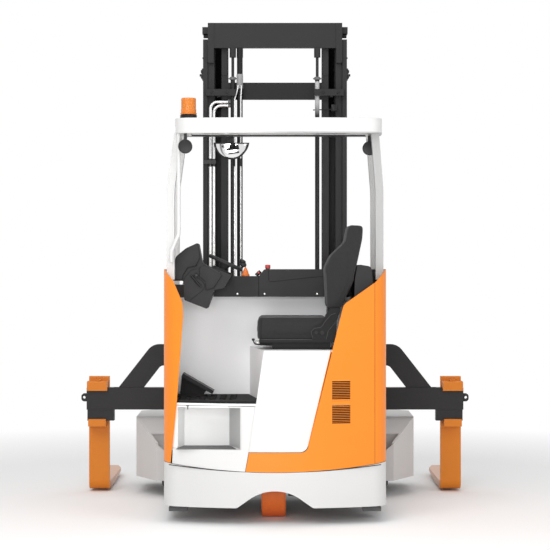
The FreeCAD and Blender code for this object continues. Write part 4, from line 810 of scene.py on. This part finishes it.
def pod_line(offsets):
    """Places (X, Z) from offsets in millimetres about the steering pod's middle."""
    return [(POD_X + x / 1000, POD_Z + z / 1000) for x, z in offsets]


def pod_shell(name, offsets, thickness):
    """A moulded shell that stands a little off the steering pod."""
    shape = bmesh.new()
    plate(shape, pod_line(offsets), POD_FACE, POD_FACE - thickness, thickness / 2, 3)
    finish_piece(name, shape, PLASTIC)


def steering_pod():
    """The steering pod's hood, joints and lever, with a painted highlight along its crease."""
    pod_shell("pod_hood", [(-155, 112), (-142, 30), (-168, -20), (-215, -30), (-240, -70), (-247, -103),
                           (-300, -100), (-330, -42), (-279, 38), (-226, 81)], 0.014)
    pod_shell("pod_side", [(-124, -14), (-41, -47), (-16, -74), (-66, -148), (-110, -160), (-116, -110),
                           (-150, -80), (-150, -30)], 0.01)
    groove = POD_FACE - 0.0005
    rim = [(-246, -182), (-244, -122), (-230, -80), (-196, -44), (-162, -35)]
    line = [(-160, -86), (-130, -108), (-116, -134), (-130, -161), (-208, -222)]
    crease = [(-152, 100), (-139, 44), (-124, -4), (-94, -24), (-30, -60)]
    engraved("pod_recess_rim", pod_line(rim), groove)
    engraved("pod_recess_line", pod_line(line), groove)
    # The light grey line along the crease is a painted highlight.
    engraved("pod_crease_highlight", pod_line(crease), POD_FACE - 0.0105, PIPING_AND_HIGHLIGHT, 0.001)
    shape = bmesh.new()
    (x, z), (end_x, end_z), (hub_x, hub_z) = pod_line([(-197, -73), (-140, -139), (-166, -73)])
    rod(shape, (x, POD_FACE - 0.008, z), (end_x, POD_FACE - 0.008, end_z), 0.007)
    lathe(shape, (hub_x, POD_FACE - 0.001, hub_z), -Y, [(0, 0), (12, 0), (12, 16), (9, 20), (0, 21)], 24)
    finish_piece("pod_lever", shape, SMOOTH_BLACK)


def steering_boss():
    """Lobes on the boss that carries the steering wheel, and its cover."""
    across = Vector((math.cos(WHEEL_TILT), 0, -math.sin(WHEEL_TILT)))
    centre = Vector((POD_X, WHEEL_Y, POD_Z))
    shape = bmesh.new()
    for shift in (-0.052, 0.006, 0.048):
        place = centre + across * shift - WHEEL_AXIS * 0.044
        rod(shape, place - WHEEL_AXIS * 0.03, place, 0.012, 0.009, 12)
    lathe(shape, centre - WHEEL_AXIS * 0.062, WHEEL_AXIS, [(0, 0), (62, 0), (66, 6), (58, 20), (0, 22)])
    finish_piece("steering_boss_cover", shape, PLASTIC)


def steering_knob():
    """The cap of the knob on the steering wheel's rim."""
    turned("steering_knob", SMOOTH_BLACK, (-0.1945, WHEEL_Y, 1.4755), WHEEL_AXIS,
           [(0, 0), (13, 0), (15, 4), (21, 8), (21, 15), (14, 21), (0, 23)], body="steering_wheel")


def shelf_trim():
    """The grooves and screws in the shelf's face, and the low key switch on it."""
    face = SHELF_FACE - 0.0002
    engraved("shelf_groove", [(-0.037, 1.433), (-0.037, 1.372), (-0.03, 1.365), (0.295, 1.4)], face)
    engraved("shelf_joint", [(-0.097, 1.398), (-0.097, 1.28)], face)
    shape = bmesh.new()
    for x in (-0.2215, -0.0615, 0.2485):
        lathe(shape, (x, face, 1.2945), -Y, [(0, 0.4), (4.8, 0.6), (5.4, 0)], 16)
    finish_piece("shelf_screws", shape, ZINC)
    low, lean = Vector((-0.112, SHELF_FACE + 0.04, 1.402)), Vector((1, 0, 1))
    shape = bmesh.new()
    rod(shape, low, low + lean * 0.026, 0.012, 0.01)
    finish_piece("key_switch", shape, SMOOTH_BLACK)
    shape = bmesh.new()
    rod(shape, low + lean * 0.0135, low + lean * 0.019, 0.0125)
    finish_piece("key_ring", shape, RED)


def shelf_controls():
    """The red stop button on its neck, and the orange pilot knob."""
    low, high = corners("console_controls")
    stop = Vector((-0.043, (low.y + high.y) / 2, high.z - 0.024))
    turned("stop_neck", SMOOTH_BLACK, stop, Z, [(0, 0), (12.5, 0), (11, 6), (11, 10)], 24)
    cap = turned("stop_button", RED, stop + Z * 0.001, Z, [(11, 2), (16, 3), (16, 21), (13, 25), (0, 26)])
    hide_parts("console_controls")
    turned("pilot_knob", KNOB_ORANGE, (-0.175, stop.y, low.z), Z,
           [(0, 0), (24.5, 0), (24.5, 8), (19, 14), (16, 28), (8, 44), (4, 52), (0, 54)], 24)


def recliner_trim():
    """The recliner's pivots, the seam down the cushion's front and painted highlight lines on the recliner's
    cover.
    """
    face = SEAT_FACE - 0.0002
    shape = bmesh.new()
    for x, size in ((0.234, 9.5), (0.27, 12.5)):
        lathe(shape, (x, face, 1.079), -Y, [(0, 3), (size * 0.4, 3), (size * 0.5, 4.5), (size * 0.85, 4.5),
                                            (size, 3), (size, 0)])
    finish_piece("recliner_pivots", shape, PLASTIC)
    sewn_line("cushion_front_seam", cushion, [(-0.0798, z) for z in (1.157, 1.12, 1.08, 1.044)],
              cushion_low.y, JOINT, 0.003, closed=False)
    # Light grey lines on the recliner's cover: painted highlights.
    engraved("recliner_highlight", [(0.214, 1.052), (0.204, 1.082), (0.222, 1.104), (0.262, 1.11), (0.29, 1.15),
                               (0.316, 1.18), (0.345, 1.19)], face, PIPING_AND_HIGHLIGHT, 0.0009)
    engraved("recliner_cover_highlight", [(0.29, 1.04), (0.302, 1.09), (0.336, 1.13), (0.352, 1.15)], face,
             PIPING_AND_HIGHLIGHT, 0.0009)


def slide_trim():
    """The slide's zinc bracket and the seat's lever with its knob."""
    shape = bmesh.new()
    slab(shape, (-0.112, SEAT_FACE + 0.074, 1.01), (-0.0865, SEAT_FACE + 0.152, 1.026), 0.002)
    slab(shape, (-0.112, SEAT_FACE + 0.07, 1.0243), (-0.016, SEAT_FACE + 0.156, 1.0303), 0.002)
    finish_piece("slide_bracket", shape, ZINC)
    near = SEAT_FACE + 0.06
    tube("seat_lever", [(-0.124, near, 1.034), (-0.12, near, 1.018), (-0.104, near, 1.008),
                        (-0.01, near, 1.006)], 0.004, SMOOTH_BLACK)
    turned("seat_lever_knob", SMOOTH_BLACK, (-0.124, near, 1.03), Z,
           [(0, 0), (7, 2), (9, 8), (7, 14), (0, 16)], 16)


def mat_ribs():
    """Herringbone ribs moulded on the floor mat."""
    low, high = corners("floor_mat")
    shape = bmesh.new()
    pitch, across, half = 0.052, 0.058, 0.02
    first_x, last_x, first_y = -0.56, -0.135, low.y + 0.16
    for row in range(int((high.y - 0.06 - first_y) / pitch)):
        y = first_y + row * pitch
        count = int((last_x - first_x - 0.09 * (y - low.y) / (high.y - low.y)) / across)
        for i in range(count):
            before = len(shape.verts)
            slab(shape, (-half, -0.006, -0.001), (half, 0.006, 0.006), 0.002, 1)
            shape.verts.ensure_lookup_table()
            turn = Matrix.Rotation(math.radians(32 if (i + row) % 2 else -32), 4, "Z")
            place = Matrix.Translation((first_x + (i + 0.5) * across, y, high.z))
            bmesh.ops.transform(shape, matrix=place @ turn, verts=shape.verts[before:])
    finish_piece("mat_ribs", shape, RUBBER, slot="mat_rubber")


def pedal_trim():
    """The pedal's bracket and the plate that it is bolted to."""
    low, high = corners("pedal_unit")
    top = low.z + 0.01
    shape = bmesh.new()
    slab(shape, (-0.575, low.y - 0.01, low.z + 0.0005), (-0.415, high.y + 0.01, top), 0.002)
    plate(shape, [(-0.548, top), (-0.42, top), (-0.392, low.z + 0.045), (-0.47, low.z + 0.085),
                  (-0.536, low.z + 0.122)], low.y + 0.016, high.y - 0.016, 0.004)
    for x in (-0.56, -0.43):
        bolt(shape, (x, low.y - 0.001, top), Z, 0.006)
    finish_piece("pedal_trim", shape, RUBBER)


def step_trim():
    """The ribbed mat on the step and the small latch above it."""
    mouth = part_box("step_box")[0].y
    shape = bmesh.new()
    for i in range(24):
        reach = 0.045 + 0.06 * i / 23
        crossbar(shape, -0.575 + reach * 0.4, -0.192 - reach * 0.65, mouth + 0.05 + i * 0.0085,
                 STEP_FLOOR + 0.0022, 0.0024, 6)
    finish_piece("step_mat", shape, FRAME_GREY, slot="mat_rubber")
    shape = bmesh.new()
    slab(shape, (-0.494, mouth + 0.0465, 0.65), (-0.489, mouth + 0.0515, 0.672), 0.001)
    slab(shape, (-0.5, mouth + 0.0465, 0.668), (-0.484, mouth + 0.0515, 0.672), 0.001)
    finish_piece("step_latch", shape, SMOOTH_BLACK)


steering_pod()
steering_boss()
steering_knob()
shelf_trim()
shelf_controls()
recliner_trim()
slide_trim()
mat_ribs()
pedal_trim()
step_trim()

# ---- roof, panels, legs and forks ----

LAMP_HEIGHT = 2.14
HOOK_TOP = 0.719
HUB_CIRCLE = 0.068
CARRIAGE_LOW, CARRIAGE_HIGH = 0.537, 0.678


def beacon_trim():
    """The lens's skirt and cap, and the grooves round its base."""
    low, high = corners("beacon_lens")
    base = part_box("beacon_base")[0].z
    x, y, _ = (low + high) / 2
    shape = bmesh.new()
    lathe(shape, (x, y, low.z), Z, [(40, 0), (47.5, 1), (47.5, 8), (44.5, 10), (44.5, 30), (43.2, 32)], 48)
    lathe(shape, (x, y, high.z - 0.016), Z, [(43.2, 0), (43.5, 8), (40.5, 16.5), (0, 17.5)], 48)
    finish_piece("beacon_rings", shape, LENS, slot="lens_orange")
    shape = bmesh.new()
    for height in (0.006, 0.014, 0.022):
        lathe(shape, (x, y, base + height), Z, [(47, 0), (49.5, 1), (49.5, 3), (47, 4)], 48)
    finish_piece("beacon_base_rings", shape, SMOOTH_BLACK)


def mirror_bowl():
    """The bright bowl and rim in the mirror's half-moon frame, and the bracket before it."""
    low, high = corners("cab_mirror")
    centre = Vector(((low.x + high.x) / 2, low.y, high.z - 0.038))
    shape = bmesh.new()
    form = Matrix.Translation(centre) @ Matrix.Diagonal((0.099, 0.022, 0.099, 1.0))
    bmesh.ops.create_uvsphere(shape, u_segments=48, v_segments=24, radius=1.0, matrix=form)
    cut_away(shape, centre - Z * 0.008, Z)
    cut_away(shape, centre + Y * 0.001, Y)
    bmesh.ops.holes_fill(shape, edges=[edge for edge in shape.edges if edge.is_boundary])
    finish_piece("mirror_bowl", shape, CHROME, slot="mirror_glass")
    turns = [math.radians(184 + 8 * i) for i in range(22)]
    tube("mirror_rim", [centre + Vector((0.097 * math.cos(turn), -0.003, 0.097 * math.sin(turn)))
                        for turn in turns], 0.0055, SMOOTH_BLACK)
    shape = bmesh.new()
    joint = centre + Vector((0.004, -0.026, -0.034))
    for start, end, *form in (((0.01, 0.006, 0.03), (0, 0, 0), 0.012, 0.02, 16),
                              ((-0.034, 0.008, -0.01), (0.042, 0.004, 0.008), 0.007, 0.015, 12),
                              ((-0.022, 0.008, -0.034), (0.044, 0.008, -0.024), 0.004, 0.005, 12)):
        rod(shape, joint + Vector(start), joint + Vector(end), *form)
    finish_piece("mirror_joint", shape, SMOOTH_BLACK)


def lamp_trim():
    """A rim and a domed back on each working lamp, on the side that faces the rear."""
    low, high = corners("work_lamps")
    for name, profile in (("lamp_rims", [(38.5, 0), (40.5, 1), (40.5, 4), (37, 5)]),
                          ("lamp_backs", [(0, 3), (22, 2.5), (37, 1)])):
        shape = bmesh.new()
        for place in ((-0.512, low.y + 0.0005, LAMP_HEIGHT), (0.547, high.y - 0.0395, LAMP_HEIGHT)):
            lathe(shape, place, -Y, profile)
        finish_piece(name, shape, SMOOTH_BLACK)


def nearest(name, place):
    """The point of a node's surface that is nearest to a place."""
    return nodes[name].closest_point_on_mesh(Vector(place))[1]


def pedestal_gasket(name, line, side, material):
    """A strip in the joint beside the pedestal, found from a line (X, Z) near it."""
    points = []
    for x, z in line:
        face = nearest("pedestal_panel", (x - side * 0.01, -1.4, z))
        edge = nearest("pedestal_panel", (x + side * 0.03, face.y, z))
        points.append(edge + Vector((side * 0.0018, 0.002, 0)))
    tube(name, points, 0.0028, material, order=2)


def skirt_gasket():
    """The black strip in the joint above the skirt."""
    points = []
    for i in range(25):
        x = -0.6 + 0.05 * i
        face = nearest("rear_skirt", (x, -1.4, 0.42))
        points.append((x, face.y + 0.0026, face.z + 0.0015))
    tube("skirt_gasket", points, 0.0026, JOINT, order=2)


def louvre_shade_backs():
    """Dark sheets behind the side panel's slots: painted shade for the inside of the panel."""
    shape = bmesh.new()
    for low in (0.566, 0.702):
        slab(shape, (0.316, -1.2325, low), (0.43, -1.2295, low + 0.112))
    finish_piece("louvre_shade_backs", shape, LOUVRE_SHADE_SHEET)


def housing_bolts():
    """Two bolts on top of each leg cover and the screws along its lower edge."""
    shape = bmesh.new()
    for side in SIDES:
        for y, top in ((0.3, 0.4942), (0.6, 0.4975)):
            bolt(shape, (side * 0.7, y, top), Z, 0.009, 0.006)
        for y in (0.28, 0.46, 0.62):
            bolt(shape, (side * 0.8938, y, 0.15), (side, 0, 0), 0.006, 0.004)
    finish_piece("housing_bolts", shape, ZINC, slot="body_white")


def housing_closers():
    """The flat plate across the mouth of each leg cover's hood."""
    for side, label in zip(SIDES, ("right", "left")):
        shape = bmesh.new()
        side_slab(shape, side, (0.606, 0.795), (0.058, 0.13), (0.062, 0.394))
        finish_piece("housing_closer_" + label, shape, COVER_GREY, slot="body_white")


def carriage_trim():
    """Lines where the beam meets its lower blocks, the brace's welds and bolts on the beam."""
    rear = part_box("fork_carriage")[0].y
    shape = bmesh.new()
    for side in SIDES:
        side_slab(shape, side, (1.036, 1.207), (rear - 0.002, CARRIAGE_LOW - 0.003),
                  (rear, CARRIAGE_LOW + 0.003), 0.001)
        for x in (0.845, 0.93, 1.008):
            crossbar(shape, side * x, side * (x + 0.03), rear + 0.0125, CARRIAGE_HIGH + 0.001, 0.003, 8)
        for x in (0.2, 0.33):
            for height in (CARRIAGE_LOW + 0.035, CARRIAGE_HIGH - 0.035):
                bolt(shape, (side * x, rear, height), -Y, 0.01, 0.007)
    finish_piece("carriage_trim", shape, MAST, "carriage", "mast_dark")


def hook_trim():
    """The stop latch on top of each fork hook, with its pin."""
    shape = bmesh.new()
    for name in ("fork_left", "fork_right"):
        low, high = corners(name)
        x = (low.x + high.x) / 2
        slab(shape, (x - 0.018, low.y + 0.03, HOOK_TOP), (x + 0.018, low.y + 0.075, HOOK_TOP + 0.01), 0.002)
        rod(shape, (x, low.y + 0.05, HOOK_TOP), (x, low.y + 0.05, HOOK_TOP + 0.018), 0.006, sides=12)
    finish_piece("hook_latches", shape, FORK, "carriage", "fork_orange")


def wheel_faces(name, recess):
    """A wheel's middle, and the side and X of its two faces, a little inside its box."""
    low, high = corners(name)
    return (low + high) / 2, ((1, high.x - recess), (-1, low.x + recess))


def hub_bolts(shape, x, centre, side, count, size):
    """Adds a ring of bolts on a wheel's face."""
    for i in range(count):
        turn = math.tau * i / count
        place = (x, centre.y + HUB_CIRCLE * math.cos(turn), centre.z + HUB_CIRCLE * math.sin(turn))
        bolt(shape, place, (side, 0, 0), size, 0.006)


def wheel_bolts():
    """Hub bolts on the drive wheel; bearing rings and hub bolts on the load wheels."""
    shape = bmesh.new()
    centre, faces = wheel_faces("drive_wheel", 0.02)
    for side, x in faces:
        hub_bolts(shape, x, centre, side, 6, 0.009)
    finish_piece("drive_bolts", shape, ZINC, "drive_wheel", "cast_iron")
    for label in ("right", "left"):
        shape = bmesh.new()
        centre, faces = wheel_faces("load_wheel_" + label, 0.01)
        for side, x in faces:
            lathe(shape, (x, centre.y, centre.z), (side, 0, 0), [(18, 0), (46, 0), (44, 6), (18, 8)])
            hub_bolts(shape, x, centre, side, 5, 0.008)
        finish_piece("load_hub_" + label, shape, IRON, "load_wheel_" + label, "cast_iron")


beacon_trim()
mirror_bowl()
lamp_trim()
pedestal_gasket("step_gasket", [(-0.1135, 0.676), (-0.141, 0.49), (-0.1685, 0.304)], -1, WHITE)
pedestal_gasket("side_gasket", [(0.317, 0.976), (0.25, 0.708), (0.183, 0.44)], 1, ORANGE)
skirt_gasket()
louvre_shade_backs()
housing_bolts()
housing_closers()
carriage_trim()
hook_trim()
wheel_bolts()

# ---- floor, lights and camera ----

FLOOR_HALF = 40.0
SHADOW_END, SHADOW_FADE = 3.9, 1.3
ROOM_LIGHT = 0.5
CAMERA_HEIGHT = 1.435
CAMERA_DISTANCE = 10.3
REAR_PLANE = -1.0925
SENSOR = 36.0
FOCAL_LENGTH = 117.8181818
VIEW_SHIFT = -1 / 110


def seen_directly(paint):
    """1 for rays from the camera and for those that metal and glass send on."""
    camera, glossy, through = (paint.node("ShaderNodeLightPath", output=name) for name in (
        "Is Camera Ray", "Is Glossy Ray", "Is Transmission Ray"))
    return camera.maths("MAXIMUM", glossy).maths("MAXIMUM", through)


def stage_floor():
    """A wide pale floor that catches the truck's shadow and turns plain white beyond it."""
    shape = bmesh.new()
    bmesh.ops.create_grid(shape, x_segments=1, y_segments=1, size=FLOOR_HALF)
    floor = placed("floor", baked("floor", shape))
    paint = Paint("floor_paint")
    across, along = paint.axis("x"), paint.axis("y")
    away = (across * across + along * along).maths("SQRT").above(SHADOW_END, SHADOW_FADE)
    paint.finish(Base_Color=(0.93, 0.93, 0.93, 1.0), Roughness=0.9)
    glow = paint.node("ShaderNodeEmission", None, {"Color": (1.0, 1.0, 1.0, 1.0)})
    matt = Socket(paint, paint.shader.outputs[0])
    paint.feed(paint.tree.nodes["Material Output"].inputs["Surface"], paint.node(
        "ShaderNodeMixShader", None, {0: away * seen_directly(paint), 1: matt, 2: glow}))
    floor.data.materials.append(paint.material)


def area_light(name, place, target, size, power):
    """A soft square light that looks at a point."""
    light = bpy.data.lights.new(name, "AREA")
    light.shape = "SQUARE"
    light.size = size
    light.energy = power
    lamp = placed(name, light)
    lamp.location = place
    lamp.rotation_euler = (Vector(target) - Vector(place)).to_track_quat("-Z", "Y").to_euler()


class Sky(Paint):
    """The world's own node tree, with the same tools as a material's."""

    def __init__(self, world):
        self.material = world
        self.tree = world.node_tree
        self.shader = self.tree.nodes["Background"]


def white_room():
    """A world that looks plain white and lights at a lower level."""
    world = bpy.data.worlds.new("studio")
    scene.world = world
    world.use_nodes = True
    sky = Sky(world)
    sky.finish(Color=(1.0, 1.0, 1.0, 1.0), Strength=seen_directly(sky) * (1.0 - ROOM_LIGHT) + ROOM_LIGHT)


def rear_camera():
    """A long lens straight behind the truck, at the height of its roof's eye line."""
    lens = bpy.data.cameras.new("camera")
    lens.sensor_width = SENSOR
    lens.lens = FOCAL_LENGTH
    lens.shift_y = VIEW_SHIFT
    lens.clip_end = 200.0
    camera = placed("camera", lens)
    camera.location = (0.0, REAR_PLANE - CAMERA_DISTANCE, CAMERA_HEIGHT)
    camera.rotation_euler = (math.radians(90), 0, 0)
    scene.camera = camera


stage_floor()
area_light("key", (-3.0, -7.0, 7.0), (0, 0, 1.2), 5.0, 300)
area_light("fill", (6.0, -6.0, 4.0), (0, 0, 1.2), 5.0, 140)
area_light("cab", (-0.4, -6.0, 1.4), (-0.2, 0, 1.2), 2.0, 80)
area_light("top", (0.0, 0.0, 9.0), (0, 0, 0), 7.0, 180)
white_room()
rear_camera()
scene.view_settings.view_transform = "Standard"
